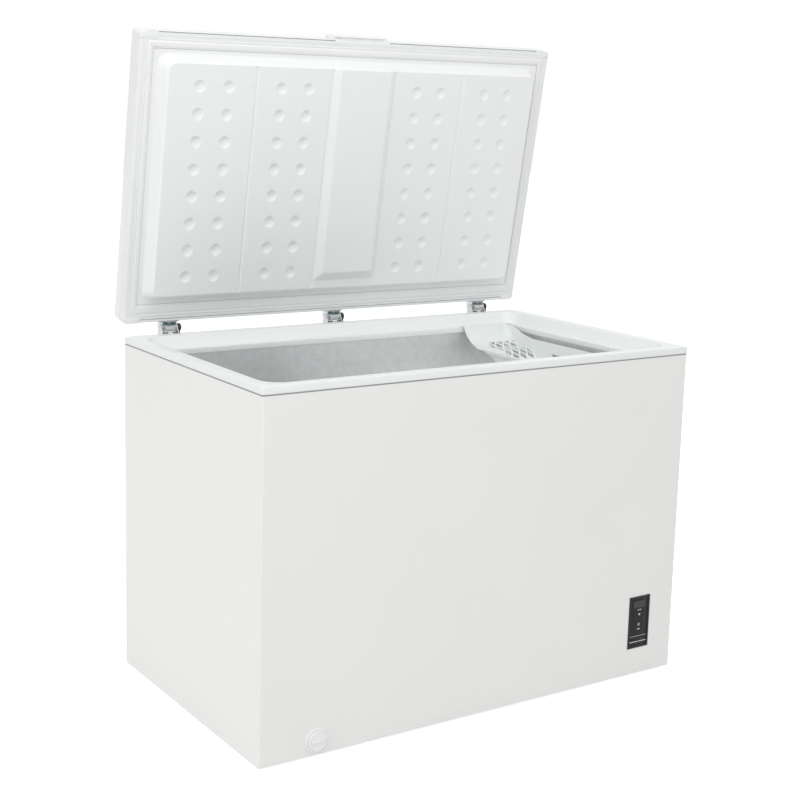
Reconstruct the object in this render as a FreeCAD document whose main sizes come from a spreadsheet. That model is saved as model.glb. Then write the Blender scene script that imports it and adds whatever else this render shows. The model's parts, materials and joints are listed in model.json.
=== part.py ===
import FreeCAD, Part
import math
import os
import re
import Sketcher

from FreeCAD import Placement, Rotation, Vector

# Chest freezer with a spring-hinged lid: every piece is a body or a solid of one parametric document.
# The sizes are held in a spreadsheet, in millimetres, and every sketch and solid is bound to them.
# The cabinet is drawn with X to the right, Y to the back and Z up from the floor.
# The lid is drawn closed and then turned about the hinge pins to its open place.

SIZES = {
    # cabinet
    "cabinet_width": 1125,
    "cabinet_depth": 665,
    "rim_height": 790,
    "base_clearance": 6,
    "cabinet_corner": 5,
    "sheet_gauge": 0.8,
    "return_flange": 12,
    "wall_thickness": 60,
    "floor_thickness": 62,
    "liner_gauge": 0.8,
    "liner_corner": 22,
    "coil_space": 7,
    "pan_gauge": 1,
    # compressor compartment under the step in the liner
    "compartment_width": 262,
    "compartment_height": 264,
    "step_insulation": 60,
    # plastic top frame
    "rim_overhang": 0.5,
    "rim_band": 16,
    "rim_reveal": 1.2,
    "rim_land": 29,
    "rim_land_corner": 50,
    "rim_drop": 27,
    "rim_run": 11,
    "rim_skirt": 14,
    "rim_wall": 3,
    "rim_lip": 2,
    "liner_groove": 10,
    "groove_play": 0.9,
    # refrigerant coils
    "coil_half": 2.5,
    "evaporator_turns": 3,
    "evaporator_low": 420,
    "evaporator_pitch": 90,
    "riser_step": 60,
    "condenser_rows": 3,
    "condenser_low": 370,
    "condenser_pitch": 120,
    "condenser_channel": 9,
    "condenser_setback": 40,
    # feet
    "foot_size": 19,
    "foot_stem": 5,
    "foot_inset": 45,
    # compressor set
    "tray_gauge": 2,
    "tray_flange": 20,
    "compressor_from_side": 122.5,
    "compressor_from_rear": 212.5,
    "compressor_size": 78,
    "compressor_height": 165,
    "compressor_lift": 30,
    "mount_spacing_x": 130,
    "mount_spacing_y": 110,
    "mount_size": 14,
    "foot_plate_gauge": 3,
    "bolt_size": 4,
    "bolt_head": 7.2,
    "pipe_half": 3,
    "pipe_reach": 30,
    "relay_width": 56,
    "relay_depth": 30,
    "relay_height": 66,
    "relay_lift": 23,
    "drier_from_side": 232.5,
    "drier_from_rear": 102.5,
    "drier_low": 90,
    "drier_size": 10,
    "drier_length": 110,
    # rear cover, grille and cable inlet
    "cover_gauge": 1.2,
    "cover_margin": 12,
    "cover_fit": 1,
    "cover_screw_inset": 8,
    "louvre_pitch": 18,
    "louvre_slot": 6,
    "louvre_clear": 50,
    "grille_length": 160,
    "grille_height": 96,
    "grille_from_rear": 212.5,
    "grille_z": 140,
    "grille_bars": 8,
    "grille_depth": 6,
    "grille_rim": 6,
    "grille_edge": 8,
    "grille_bar": 4,
    "screw_head": 4.5,
    "screw_rise": 2,
    # control panel
    "panel_from_side": 107,
    "panel_z": 134,
    "panel_width": 64,
    "panel_height": 128,
    "bezel_width": 5,
    "bezel_proud": 1.5,
    "panel_fit": 0.5,
    "overlay_gauge": 2.5,
    "overlay_sink": 1,
    "control_box_depth": 32,
    "control_box_wall": 2,
    "control_box_margin": 3,
    "board_gauge": 1.6,
    "switch_size": 6,
    "switch_height": 2,
    "switch_gap": 0.4,
    "key_width": 12,
    "key_height": 10,
    "key_pitch": 25,
    "key_low": 128,
    "key_fit": 0.3,
    "key_proud": 0.7,
    "key_travel": 0.6,
    "key_collar": 1.5,
    "key_collar_gauge": 1,
    "fascia_depth": 5.5,
    # drain
    "drain_from_side": 133,
    "drain_from_front": 112.5,
    "drain_z": 38,
    "drain_flange": 27.5,
    "drain_pipe": 12,
    "drain_wall": 1.7,
    "drain_fit": 0.3,
    "drain_channel": 15,
    "drain_sleeve": 40,
    "drain_flange_gauge": 3,
    "drain_flange_bevel": 2,
    "hose_wall": 2,
    "knob_size": 21,
    "knob_height": 6,
    "knob_bevel": 1,
    "knob_bar": 2.5,
    "knob_bar_width": 6,
    "knob_bar_inset": 5,
    "spout_length": 45,
    "fitting_rise": 1.5,
    "fitting_brim": 8,
    "plug_stem": 4,
    "plug_brim": 2.5,
    "plug_tab": 12,
    "plug_tab_gauge": 3,
    # six-sided bush in the rear cover
    "inlet_size": 10,
    "inlet_collar": 4,
    "inlet_nose": 14,
    "inlet_neck": 4,
    "inlet_bore": 4,
    "inlet_offset": 30,
    "inlet_fit": 0.5,
    # basket
    "basket_gap": 18.5,
    "basket_width": 137,
    "basket_flange": 14,
    "basket_bearing": 5.5,
    "basket_wall": 2.5,
    "basket_drop": 165,
    "low_wall_inset": 120,
    "low_wall_drop": 43,
    "low_wall_lip": 3.5,
    "lip_gauge": 2,
    "lip_drop": 9,
    "slit_start": 36,
    "slit_length": 27,
    "slit_drop": 49,
    "slit_height": 8,
    "lattice_pitch_x": 23.6,
    "lattice_pitch_y": 36,
    "lattice_bar": 4.5,
    "lattice_near": 56,
    "lattice_far": 158,
    "lattice_deep": 100,
    # lid
    "lid_overhang_x": 1,
    "lid_overhang_y": 0.5,
    "lid_thickness": 55,
    "lid_corner": 12,
    "lid_crown": 8,
    "lid_gauge": 0.8,
    "lid_hem": 5,
    "lid_opening": 80.3,
    "gasket_gap": 6,
    "gasket_proud": 5.7,
    "gasket_inset": 16,
    "gasket_width": 13,
    "gasket_seat": 3,
    "frame_width_x": 31.5,
    "frame_width_y": 37,
    "frame_depth": 7,
    "frame_corner": 24,
    "panel_inset_x": 43.5,
    "panel_inset_y": 60,
    "panel_slope_x": 18,
    "panel_slope_y": 9,
    "panel_raise": 28,
    "panel_corner": 30,
    "panel_corner_growth": 10,
    "panel_gauge": 5,
    "liner_sheet": 2,
    "groove_width": 6,
    "groove_depth": 4.5,
    "inner_groove": 87.5,
    "outer_groove": 286.5,
    "dimple_size": 14.5,
    "dimple_depth": 3.5,
    "dimple_pitch": 62.3,
    "dimple_margin": 30,
    "spine_base": 83,
    "spine_top": 69,
    "spine_front": 7,
    "spine_rear": 13.5,
    "spine_end_gap": 21,
    "spine_nose": 7,
    "spine_bevel": 22,
    "spine_tip": 0.3,
    "handle_width": 152,
    "handle_reach": 8.5,
    "handle_low": 12,
    "handle_rise": 36,
    "handle_wall": 2.5,
    "handle_bevel": 3,
    "handle_slope": 5,
    "handle_corner": 2.5,
    "cap_length": 41,
    "cap_width": 15.5,
    "cap_gauge": 1,
    "plug_size": 1.8,
    "plug_gauge": 0.8,
    # hinges
    "hinge_from_side": 115.5,
    "hinge_back": 17.6,
    "hinge_rise": 10.6,
    "pin_size": 3,
    "pin_fit": 0.3,
    "pin_head": 1.5,
    "bush_wall": 1.2,
    "bush_play": 0.1,
    "side_play": 0.8,
    # the lid's half of a hinge
    "ear_gauge": 1.5,
    "ear_gap": 17.2,
    "ear_boss": 8,
    "ear_reach": 34,
    "ear_back": 1,
    "ear_rise": 5,
    "plate_side": 8,
    "plate_rise": 9,
    "web_drop": 2,
    "web_bar": 4,
    "web_gap": 1,
    "bracket_screw": 3,
    "bracket_screw_rise": 1.6,
    "bracket_screw_low": 20,
    "bracket_screw_pitch": 14,
    "rivet_size": 2.5,
    "rivet_lift": 7.2,
    "rivet_head": 1.5,
    "rivet_head_gauge": 0.6,
    # the cam, drawn in the lid's frame
    "cam_ratio": 7,
    "cam_open_depth": 6.5,
    "cam_half": 12,
    "cam_fit": 0.3,
    "cam_relief": 0.4,
    "cam_tail": 4.5,
    # the cabinet's half of a hinge
    "housing_gauge": 2,
    "housing_length": 140,
    "housing_boss": 9,
    "housing_wing": 13,
    "housing_shoulder": 3,
    "housing_clear": 0.6,
    "wing_above_foot": 8,
    "wing_below_band": 20,
    "wing_screw_inset": 14,
    "plunger_half": 16,
    "plunger_height": 34,
    "plunger_play": 0.3,
    "plunger_fit": 1.5,
    "plunger_back_fit": 1,
    "plunger_bevel": 2,
    "plunger_line": 2.4,
    "plunger_line_depth": 1.5,
    "plunger_line_length": 22,
    "spring_turns": 3,
    "spring_size": 11,
    "spring_wire": 3,
    "clip_length": 8,
    "clip_wall": 1.5,
    "clip_fit": 2.5,
    "clip_slot": 6,
}

# how many flat sides stand for each round form
CORNER_STEPS = 3
BEND_STEPS = 3
PIN_SIDES = 8
BOSS_SIDES = 8
RIVET_SIDES = 6
SPRING_SIDES = 6
FLANGE_SIDES = 18
FLANK_STEPS = 8
DRAIN_SIDES = 12
DIMPLE_SIDES = 6

doc = FreeCAD.newDocument("ChestFreezer")
sheet = doc.addObject("Spreadsheet::Sheet", "Sizes")
for row, (name, number) in enumerate(SIZES.items(), start=1):
    sheet.set(f"A{row}", name)
    sheet.set(f"B{row}", str(number))
    sheet.setAlias(f"B{row}", name)
doc.recompute()

# ---------------------------------------------------------------- levels and faces, as formulas
SIDE_X = "(cabinet_width / 2)"
SIDE_Y = "(cabinet_depth / 2)"
REAR_Y = "(cabinet_depth / 2 - sheet_gauge)"
FOAM_LOW = "(base_clearance + pan_gauge)"
BAND_LOW = "(rim_height - rim_band)"
WRAP_TOP = "(rim_height - rim_band - rim_reveal)"
LEDGE = "(rim_height - rim_drop)"
SKIRT_LOW = "(rim_height - rim_drop - rim_skirt)"
LINER_X = "(cabinet_width / 2 - wall_thickness)"
LINER_Y = "(cabinet_depth / 2 - wall_thickness)"
LINER_FLOOR = "(base_clearance + floor_thickness)"
LINER_TOP = "(rim_height - rim_drop - rim_skirt + liner_groove)"
STEP_X = "(cabinet_width / 2 - compartment_width - step_insulation)"
STEP_Z = "(base_clearance + compartment_height + step_insulation)"
BAY_X = "(cabinet_width / 2 - compartment_width)"
BAY_Z = "(base_clearance + compartment_height)"
LID_LOW = "(rim_height + gasket_gap)"
LID_TOP = "(rim_height + gasket_gap + lid_thickness)"
LID_X = "(cabinet_width / 2 + lid_overhang_x)"
LID_Y = "(cabinet_depth / 2 + lid_overhang_y)"
HINGE_X = "(cabinet_width / 2 - hinge_from_side)"
HINGE_Y = "(cabinet_depth / 2 + hinge_back)"
HINGE_Z = "(rim_height + hinge_rise)"
FRONT = "(-cabinet_depth / 2)"
DRAIN_X = "(drain_from_side - cabinet_width / 2)"
DRAIN_Y = "(drain_from_front - cabinet_depth / 2)"
PANEL_X = "(cabinet_width / 2 - panel_from_side)"
GRILLE_Y = "(cabinet_depth / 2 - grille_from_rear)"
COMPRESSOR_X = "(cabinet_width / 2 - compressor_from_side)"
COMPRESSOR_Y = "(cabinet_depth / 2 - compressor_from_rear)"


def bound(formula):
    """The formula as an expression that reads each size from the spreadsheet."""
    return re.sub(r"[a-z]\w*", lambda word: f"Sizes.{word[0]}" if word[0] in SIZES else word[0], str(formula))


def mm(formula):
    """The number that a formula comes to."""
    return float(sheet.evalExpression(bound(formula)))


# ---------------------------------------------------------------- sketches and features
NORMAL = {"XY_Plane": 1, "XZ_Plane": -1, "YZ_Plane": 1}


def new_body(label):
    body = doc.addObject("PartDesign::Body", label)
    body.Label = label
    return body


def sketch_on(body, role, level, across="0", up="0"):
    """A sketch on a plane parallel to an origin plane, its own origin moved within that plane."""
    sketch = body.newObject("Sketcher::SketchObject", body.Name + "_sketch")
    plane = next(part for part in body.Origin.OriginFeatures if part.Role == role)
    sketch.AttachmentSupport = [(plane, "")]
    sketch.MapMode = "FlatFace"
    sketch.setExpression("AttachmentOffset.Base.x", bound(across))
    sketch.setExpression("AttachmentOffset.Base.y", bound(up))
    sketch.setExpression("AttachmentOffset.Base.z", bound(f"{NORMAL[role]} * ({level})"))
    return sketch


def hold(sketch, kind, edge, end, formula):
    """A dimension of the sketch that follows a formula."""
    number = sketch.addConstraint(Sketcher.Constraint(kind, edge, end, mm(formula)))
    sketch.setExpression(f"Constraints[{number}]", bound(formula))


def polygon(sketch, corners):
    """A closed outline of straight edges through corners given as pairs of formulas."""
    first = sketch.GeometryCount
    points = [Vector(mm(x), mm(y), 0) for x, y in corners]
    count = len(points)
    for index in range(count):
        sketch.addGeometry(Part.LineSegment(points[index], points[(index + 1) % count]))
    for index in range(count):
        after = first + (index + 1) % count
        sketch.addConstraint(Sketcher.Constraint("Coincident", first + index, 2, after, 1))
    for index, (x, y) in enumerate(corners):
        hold(sketch, "DistanceX", first + index, 1, x)
        hold(sketch, "DistanceY", first + index, 1, y)
    return sketch


def rectangle(sketch, left, right, low, high):
    return polygon(sketch, [(left, low), (right, low), (right, high), (left, high)])


def rounded(sketch, half_x, half_y, radius):
    """A rectangle about the sketch's origin whose corners are turned in short straight steps."""
    corners = []
    for quarter, (side_x, side_y) in enumerate((("", ""), ("-", ""), ("-", "-"), ("", "-"))):
        for step in range(CORNER_STEPS + 1):
            angle = 90 * (quarter + step / CORNER_STEPS)
            corners.append((f"{side_x}({half_x} - ({radius})) + ({radius}) * cos({angle})",
                            f"{side_y}({half_y} - ({radius})) + ({radius}) * sin({angle})"))
    return polygon(sketch, corners)


def ring(sketch, x, y, radius, sides):
    """A many-sided round hole."""
    angles = [360 * step / sides for step in range(sides)]
    return polygon(sketch, [(f"{x} + ({radius}) * cos({angle})", f"{y} + ({radius}) * sin({angle})")
                            for angle in angles])


def extrude(body, kind, sketch, length, flipped=False):
    feature = body.newObject(f"PartDesign::{kind}", f"{body.Name}_{kind.lower()}")
    feature.Profile = sketch
    feature.setExpression("Length", bound(length))
    feature.Reversed = flipped
    doc.recompute()
    return feature


def pad(body, sketch, length, flipped=False):
    return extrude(body, "Pad", sketch, length, flipped)


def pocket(body, sketch, depth, flipped=False):
    """Cuts away from the sketch's normal, or along it when flipped; it has to remove something."""
    before = body.Shape.Volume
    feature = extrude(body, "Pocket", sketch, depth, flipped)
    if body.Shape.Volume >= before:
        raise RuntimeError(f"a pocket of {body.Label} removes nothing")
    return feature


def loft(body, kind, sections):
    feature = body.newObject(f"PartDesign::{kind}", f"{body.Name}_loft")
    feature.Profile = sections[0]
    feature.Sections = sections[1:]
    feature.Ruled = True
    doc.recompute()
    return feature


def fillet(body, radius, test, kind="Fillet"):
    """Rounds, or bevels, the edges of the body that pass the test."""
    base = body.Tip
    edges = [f"Edge{number}" for number, edge in enumerate(base.Shape.Edges, start=1) if test(edge)]
    if not edges:
        raise RuntimeError(f"no edge of {body.Label} to round")
    feature = body.newObject(f"PartDesign::{kind}", f"{body.Name}_{kind.lower()}")
    feature.Base = (base, edges)
    feature.setExpression("Radius" if kind == "Fillet" else "Size", bound(radius))
    doc.recompute()
    return feature


def near(number, formula):
    return abs(number - mm(formula)) < 0.02


def is_upright(edge):
    low, high = edge.BoundBox.ZMin, edge.BoundBox.ZMax
    return high - low > 1 and edge.BoundBox.XLength < 0.01 and edge.BoundBox.YLength < 0.01


def is_level(edge, formula):
    return edge.BoundBox.ZLength < 0.01 and near(edge.BoundBox.ZMin, formula)


# ---------------------------------------------------------------- plain solids
BACK = Vector(0, 1, 0)
CUT_START = 0.1


def box(x, y, z):
    """A block between pairs of numbers."""
    size = [max(pair) - min(pair) for pair in (x, y, z)]
    return Part.makeBox(*size, Vector(min(x), min(y), min(z)))


def flat_sided(rings, split=False):
    """A solid whose flat faces join ring after ring of points; twisted faces are split in two."""
    outlines = [ring for ring in (rings[0], rings[-1]) if len(ring) > 1]
    for low, high in zip(rings, rings[1:]):
        if len(high) == 1:
            outlines += [[a, b, high[0]] for a, b in zip(low, low[1:] + low[:1])]
            continue
        for a, b, c, d in zip(low, low[1:] + low[:1], high[1:] + high[:1], high):
            outlines += [[a, b, c], [a, c, d]] if split else [[a, b, c, d]]
    solid = Part.Solid(Part.Shell([Part.Face(Part.makePolygon(outline + outline[:1])) for outline in outlines]))
    if solid.Volume < 0:
        solid.reverse()
    return solid


def facets(start, profile, sides, along=Vector(0, 0, 1)):
    """A many-sided column about an axis from start; the profile gives pairs of height and radius."""
    turn_to = Rotation(Vector(0, 0, 1), along)
    rings = []
    for height, radius in profile:
        angles = [step * 2 * math.pi / sides for step in range(sides if radius else 1)]
        rings.append([start + turn_to.multVec(Vector(radius * math.cos(angle), radius * math.sin(angle), height))
                      for angle in angles])
    return flat_sided(rings)


def column(start, length, radius, sides, along=Vector(0, 0, 1)):
    return facets(start, [(0, radius), (length, radius)], sides, along)


def slab(points, x_low, x_high):
    """A plate whose outline is drawn in Y and Z, between two values of X."""
    wire = Part.makePolygon([Vector(x_low, y, z) for y, z in points + points[:1]])
    return Part.Face(wire).extrude(Vector(x_high - x_low, 0, 0))


def bent_path(points, bend):
    """The points with each sharp corner turned in short straight steps."""
    path = points[:1]
    for before, corner, after in zip(points, points[1:], points[2:]):
        into, out = (corner - before).normalize(), (after - corner).normalize()
        angle = math.degrees(into.getAngle(out))
        entry = corner - into * (bend * math.tan(math.radians(angle / 2)))
        centre = corner + (out - into).normalize() * (bend / math.cos(math.radians(angle / 2)))
        steps = [Rotation(into.cross(out), angle * step / BEND_STEPS) for step in range(BEND_STEPS + 1)]
        path += [centre + turned.multVec(entry - centre) for turned in steps]
    return path + points[-1:]


def tube(points, half, bend, across=Vector(0, 0, 1)):
    """A square-sided tube, mitred at each turn; `across` is upright to its first run."""
    path = bent_path(points, bend)
    runs = [(b - a).normalize() for a, b in zip(path, path[1:])]
    side = runs[0].cross(across)
    ring = [path[0] + side * (half * a) + across * (half * b) for a, b in ((1, 1), (-1, 1), (-1, -1), (1, -1))]
    rings = [ring]
    for into, out, corner in zip(runs, runs[1:] + runs[-1:], path[1:]):
        mitre = into + out
        ring = [point + into * ((corner - point).dot(mitre) / into.dot(mitre)) for point in ring]
        rings.append(ring)
    return flat_sided(rings)


def piece(label, shape):
    """A sub-part whose form is built directly; several solids stay together as one group."""
    feature = doc.addObject("Part::Feature", label)
    feature.Label = label
    feature.Shape = Part.makeCompound(shape) if isinstance(shape, list) else shape
    return feature


# ---------------------------------------------------------------- cabinet
def cabinet_wrap():
    """One sheet folded round the front and sides, with a return flange at each rear edge."""
    body = new_body("cabinet_wrap")
    inner_x = f"{SIDE_X} - sheet_gauge"
    inner_y = f"{SIDE_Y} - sheet_gauge"
    flange_x = f"{SIDE_X} - return_flange"
    right = [
        (SIDE_X, f"-{SIDE_Y}"), (SIDE_X, SIDE_Y), (flange_x, SIDE_Y), (flange_x, inner_y),
        (inner_x, inner_y), (inner_x, f"-({inner_y})"),
    ]
    left = [(f"-({x})", y) for x, y in reversed(right)]
    sketch = polygon(sketch_on(body, "XY_Plane", "base_clearance"), right + left)
    pad(body, sketch, f"{WRAP_TOP} - base_clearance")
    fillet(body, "cabinet_corner", lambda e: is_upright(e) and near(e.BoundBox.YMin, f"-{SIDE_Y}"))
    fillet(body, "cabinet_corner - sheet_gauge", lambda e: is_upright(e) and near(e.BoundBox.YMin, f"-({inner_y})")
           and near(abs(e.BoundBox.XMin), inner_x))
    window = sketch_on(body, "XZ_Plane", FRONT, PANEL_X, "panel_z")
    half_x = "(panel_width / 2 - bezel_width / 2)"
    half_z = "(panel_height / 2 - bezel_width / 2)"
    rectangle(window, f"-{half_x}", half_x, f"-{half_z}", half_z)
    pocket(body, window, "2 * sheet_gauge")
    hole = sketch_on(body, "XZ_Plane", FRONT, DRAIN_X, "drain_z")
    pocket(body, ring(hole, "0", "0", "drain_pipe + drain_fit", DRAIN_SIDES), "2 * sheet_gauge")
    vent = sketch_on(body, "YZ_Plane", SIDE_X, GRILLE_Y, "grille_z")
    rectangle(vent, "-grille_length / 2", "grille_length / 2", "-grille_height / 2", "grille_height / 2")
    pocket(body, vent, "2 * sheet_gauge")
    return body


def rear_panel():
    """The flat back, behind the return flanges, open at the compressor bay."""
    body = new_body("rear_panel")
    edge = f"({SIDE_X} - sheet_gauge)"
    sketch = sketch_on(body, "XZ_Plane", REAR_Y)
    rectangle(sketch, f"-{edge}", edge, "base_clearance", WRAP_TOP)
    pad(body, sketch, "sheet_gauge")
    bay = sketch_on(body, "XZ_Plane", REAR_Y)
    rectangle(bay, f"{BAY_X} + 2 * cover_margin", f"{edge} - 2 * cover_margin",
              "base_clearance + 2 * cover_margin", f"{BAY_Z} - 2 * cover_margin")
    pocket(body, bay, "2 * sheet_gauge", True)
    return body


def base_pan():
    """The galvanised floor under the foam, up to the compressor bay."""
    body = new_body("base_pan")
    edge = f"({SIDE_X} - sheet_gauge)"
    front = f"({SIDE_Y} - sheet_gauge)"
    sketch = sketch_on(body, "XY_Plane", "base_clearance")
    rectangle(sketch, f"-{edge}", BAY_X, f"-{front}", f"{SIDE_Y} - 2 * sheet_gauge")
    pad(body, sketch, "pan_gauge")
    fillet(body, "cabinet_corner", lambda e: e.BoundBox.XLength < 0.01 and e.BoundBox.YLength < 0.01
           and near(e.BoundBox.XMin, f"-{edge}") and near(e.BoundBox.YMin, f"-{front}"), "Chamfer")
    holes = sketch_on(body, "XY_Plane", FOAM_LOW)
    for side in ("-", ""):
        x, y = f"-({SIDE_X} - foot_inset)", f"{side}({SIDE_Y} - foot_inset)"
        rectangle(holes, f"{x} - foot_stem", f"{x} + foot_stem", f"{y} - foot_stem", f"{y} + foot_stem")
    pocket(body, holes, "2 * pan_gauge")
    return body


def foam_profile(body, margin, low, step_x, step_z, top):
    """The stepped outline of the liner seen from the front, grown by a margin at both ends."""
    sketch = sketch_on(body, "XZ_Plane", f"{LINER_Y} + {margin}")
    end = f"({LINER_X} + {margin})"
    return polygon(sketch, [
        (f"-{end}", low), (step_x, low), (step_x, step_z), (end, step_z), (end, top), (f"-{end}", top),
    ])


def cabinet_foam():
    """The insulation: it fills the walls, the floor and the step over the compressor bay."""
    body = new_body("cabinet_foam_block")
    edge = f"({SIDE_X} - sheet_gauge)"
    front = f"({SIDE_Y} - sheet_gauge)"
    sketch = sketch_on(body, "XY_Plane", FOAM_LOW)
    rectangle(sketch, f"-{edge}", edge, f"-{front}", f"{SIDE_Y} - 2 * sheet_gauge")
    pad(body, sketch, f"{BAND_LOW} - {FOAM_LOW}")
    fillet(body, "cabinet_corner", lambda e: is_upright(e) and near(e.BoundBox.YMin, f"-{front}"), "Chamfer")
    seat = sketch_on(body, "XY_Plane", BAND_LOW)
    inset = "(rim_land + rim_wall)"
    rounded(seat, f"{SIDE_X} - {inset}", f"{SIDE_Y} - {inset}", "rim_land_corner - rim_wall")
    pocket(body, seat, f"{BAND_LOW} - {SKIRT_LOW}")
    growth = "(liner_gauge + coil_space)"
    cavity = foam_profile(body, growth, f"{LINER_FLOOR} - liner_gauge", f"{STEP_X} + liner_gauge",
                          f"{STEP_Z} - liner_gauge", BAND_LOW)
    pocket(body, cavity, f"2 * ({LINER_Y} + {growth})", True)
    fillet(body, f"liner_corner + {growth}", lambda e: is_upright(e)
           and near(abs(e.BoundBox.XMin), f"{LINER_X} + {growth}")
           and near(abs(e.BoundBox.YMin), f"{LINER_Y} + {growth}"))
    bay = sketch_on(body, "XZ_Plane", REAR_Y)
    rectangle(bay, BAY_X, SIDE_X, "base_clearance", BAY_Z)
    pocket(body, bay, "cabinet_depth", True)
    return body


def insulation():
    """The foam with the channels of the condenser tube and the drain taken out."""
    half = mm("condenser_channel") / 2
    channels = []
    points = condenser_points()
    for start, end in zip(points, points[1:]):
        spans = [(min(a, b) - half, max(a, b) + half) for a, b in zip(start, end)]
        channels.append(box(*spans))
    mouth, corner, top = drain_points()
    half = mm("drain_channel")
    across = (mouth.x - half, mouth.x + half)
    channels.append(box(across, (mouth.y, corner.y + half), (mouth.z - half, mouth.z + half)))
    channels.append(box(across, (top.y - half, top.y + half), (corner.z, top.z)))
    cutter = piece("foam_channels", Part.makeCompound(channels))
    foam = doc.addObject("Part::Cut", "cabinet_foam_cut")
    foam.Base = cabinet_foam()
    foam.Tool = cutter
    foam.Label = "cabinet_foam"
    doc.recompute()
    return foam


def inner_liner():
    """The embossed aluminium tub, folded up over the compressor bay."""
    body = new_body("inner_liner")
    outer = foam_profile(body, "liner_gauge", f"{LINER_FLOOR} - liner_gauge", f"{STEP_X} + liner_gauge",
                         f"{STEP_Z} - liner_gauge", LINER_TOP)
    pad(body, outer, f"2 * ({LINER_Y} + liner_gauge)")
    inner = foam_profile(body, "0", LINER_FLOOR, STEP_X, STEP_Z, f"{LINER_TOP} + liner_gauge")
    pocket(body, inner, f"2 * {LINER_Y}", True)
    fillet(body, "liner_corner", lambda e: is_upright(e)
           and near(abs(e.BoundBox.XMin), LINER_X) and near(abs(e.BoundBox.YMin), LINER_Y))
    fillet(body, "liner_corner + liner_gauge", lambda e: is_upright(e)
           and near(abs(e.BoundBox.XMin), f"{LINER_X} + liner_gauge"))
    hole = sketch_on(body, "XY_Plane", LINER_FLOOR)
    pocket(body, ring(hole, DRAIN_X, DRAIN_Y, "drain_pipe + drain_fit", DRAIN_SIDES), "2 * liner_gauge")
    return body


def top_frame():
    """The plastic rim: a flat land, a sloping wall, the basket ledge and a skirt over the liner."""
    body = new_body("top_frame")
    outer = sketch_on(body, "XY_Plane", BAND_LOW)
    rounded(outer, f"{SIDE_X} + rim_overhang", f"{SIDE_Y} + rim_overhang", "cabinet_corner + rim_overhang")
    pad(body, outer, "rim_band")
    inset = "(rim_land + rim_wall)"
    block = sketch_on(body, "XY_Plane", SKIRT_LOW)
    rounded(block, f"{SIDE_X} - {inset}", f"{SIDE_Y} - {inset}", "rim_land_corner - rim_wall")
    pad(body, block, f"{BAND_LOW} - {SKIRT_LOW}")
    land = sketch_on(body, "XY_Plane", "rim_height")
    rounded(land, f"{SIDE_X} - rim_land", f"{SIDE_Y} - rim_land", "rim_land_corner")
    ledge = sketch_on(body, "XY_Plane", LEDGE)
    inset = "(rim_land + rim_run)"
    rounded(ledge, f"{SIDE_X} - {inset}", f"{SIDE_Y} - {inset}", "rim_land_corner - rim_run")
    loft(body, "SubtractiveLoft", [land, ledge])
    mouth = sketch_on(body, "XY_Plane", LEDGE)
    rounded(mouth, f"{LINER_X} - rim_lip", f"{LINER_Y} - rim_lip", "liner_corner - rim_lip")
    pocket(body, mouth, "2 * rim_skirt")
    groove = sketch_on(body, "XY_Plane", SKIRT_LOW)
    rounded(groove, f"{LINER_X} - groove_play", f"{LINER_Y} - groove_play", "liner_corner - groove_play")
    growth = "(liner_gauge + groove_play)"
    rounded(groove, f"{LINER_X} + {growth}", f"{LINER_Y} + {growth}", f"liner_corner + {growth}")
    pocket(body, groove, "liner_groove", True)
    return body


def evaporator_coil():
    """The cold tube: level turns round the liner, each joined to the next by a riser at the front."""
    x = mm(f"{LINER_X} + liner_gauge + coil_space / 2")
    y = mm(f"{LINER_Y} + liner_gauge + coil_space / 2")
    pitch, step = mm("evaporator_pitch"), mm("riser_step")
    points = [Vector(0, -y, mm("evaporator_low"))]
    for turn_number in range(int(mm("evaporator_turns"))):
        z = points[-1].z
        riser = -step * (turn_number + 1)
        points += [Vector(x, -y, z), Vector(x, y, z), Vector(-x, y, z), Vector(-x, -y, z)]
        points += [Vector(riser, -y, z), Vector(riser, -y, z + pitch)]
    points[-1:] = [points[-2] + Vector(0, 0, pitch / 2)]
    return piece("evaporator_coil", tube(points, mm("coil_half"), mm("liner_corner + coil_space / 2")))


def condenser_points():
    """The rows of the warm tube behind the outer skin, joined in turn at either rear end."""
    x = mm(f"{SIDE_X} - sheet_gauge - coil_half")
    y = mm(f"{SIDE_Y} - sheet_gauge - coil_half")
    rear = y - mm("condenser_setback")
    points = []
    for row_number in range(int(mm("condenser_rows"))):
        z = mm("condenser_low") + row_number * mm("condenser_pitch")
        level = [Vector(x, rear, z), Vector(x, -y, z), Vector(-x, -y, z), Vector(-x, rear, z)]
        points += level if row_number % 2 == 0 else level[::-1]
    return points


def condenser_coil():
    return piece("condenser_coil", tube(condenser_points(), mm("coil_half"), 3 * mm("coil_half")))


def levelling_feet():
    """Four round feet on hexagonal stems."""
    feet = []
    lift = mm("base_clearance")
    x, y = mm(f"{SIDE_X} - foot_inset"), mm(f"{SIDE_Y} - foot_inset")
    for base in (Vector(-x, -y, 0), Vector(-x, y, 0), Vector(x, -y, 0), Vector(x, y, 0)):
        disc = column(base, lift, mm("foot_size"), DRAIN_SIDES)
        stem = column(base + Vector(0, 0, lift), mm("pan_gauge"), mm("foot_stem"), RIVET_SIDES)
        feet.append(disc.fuse(stem))
    return piece("levelling_feet", feet)


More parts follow.
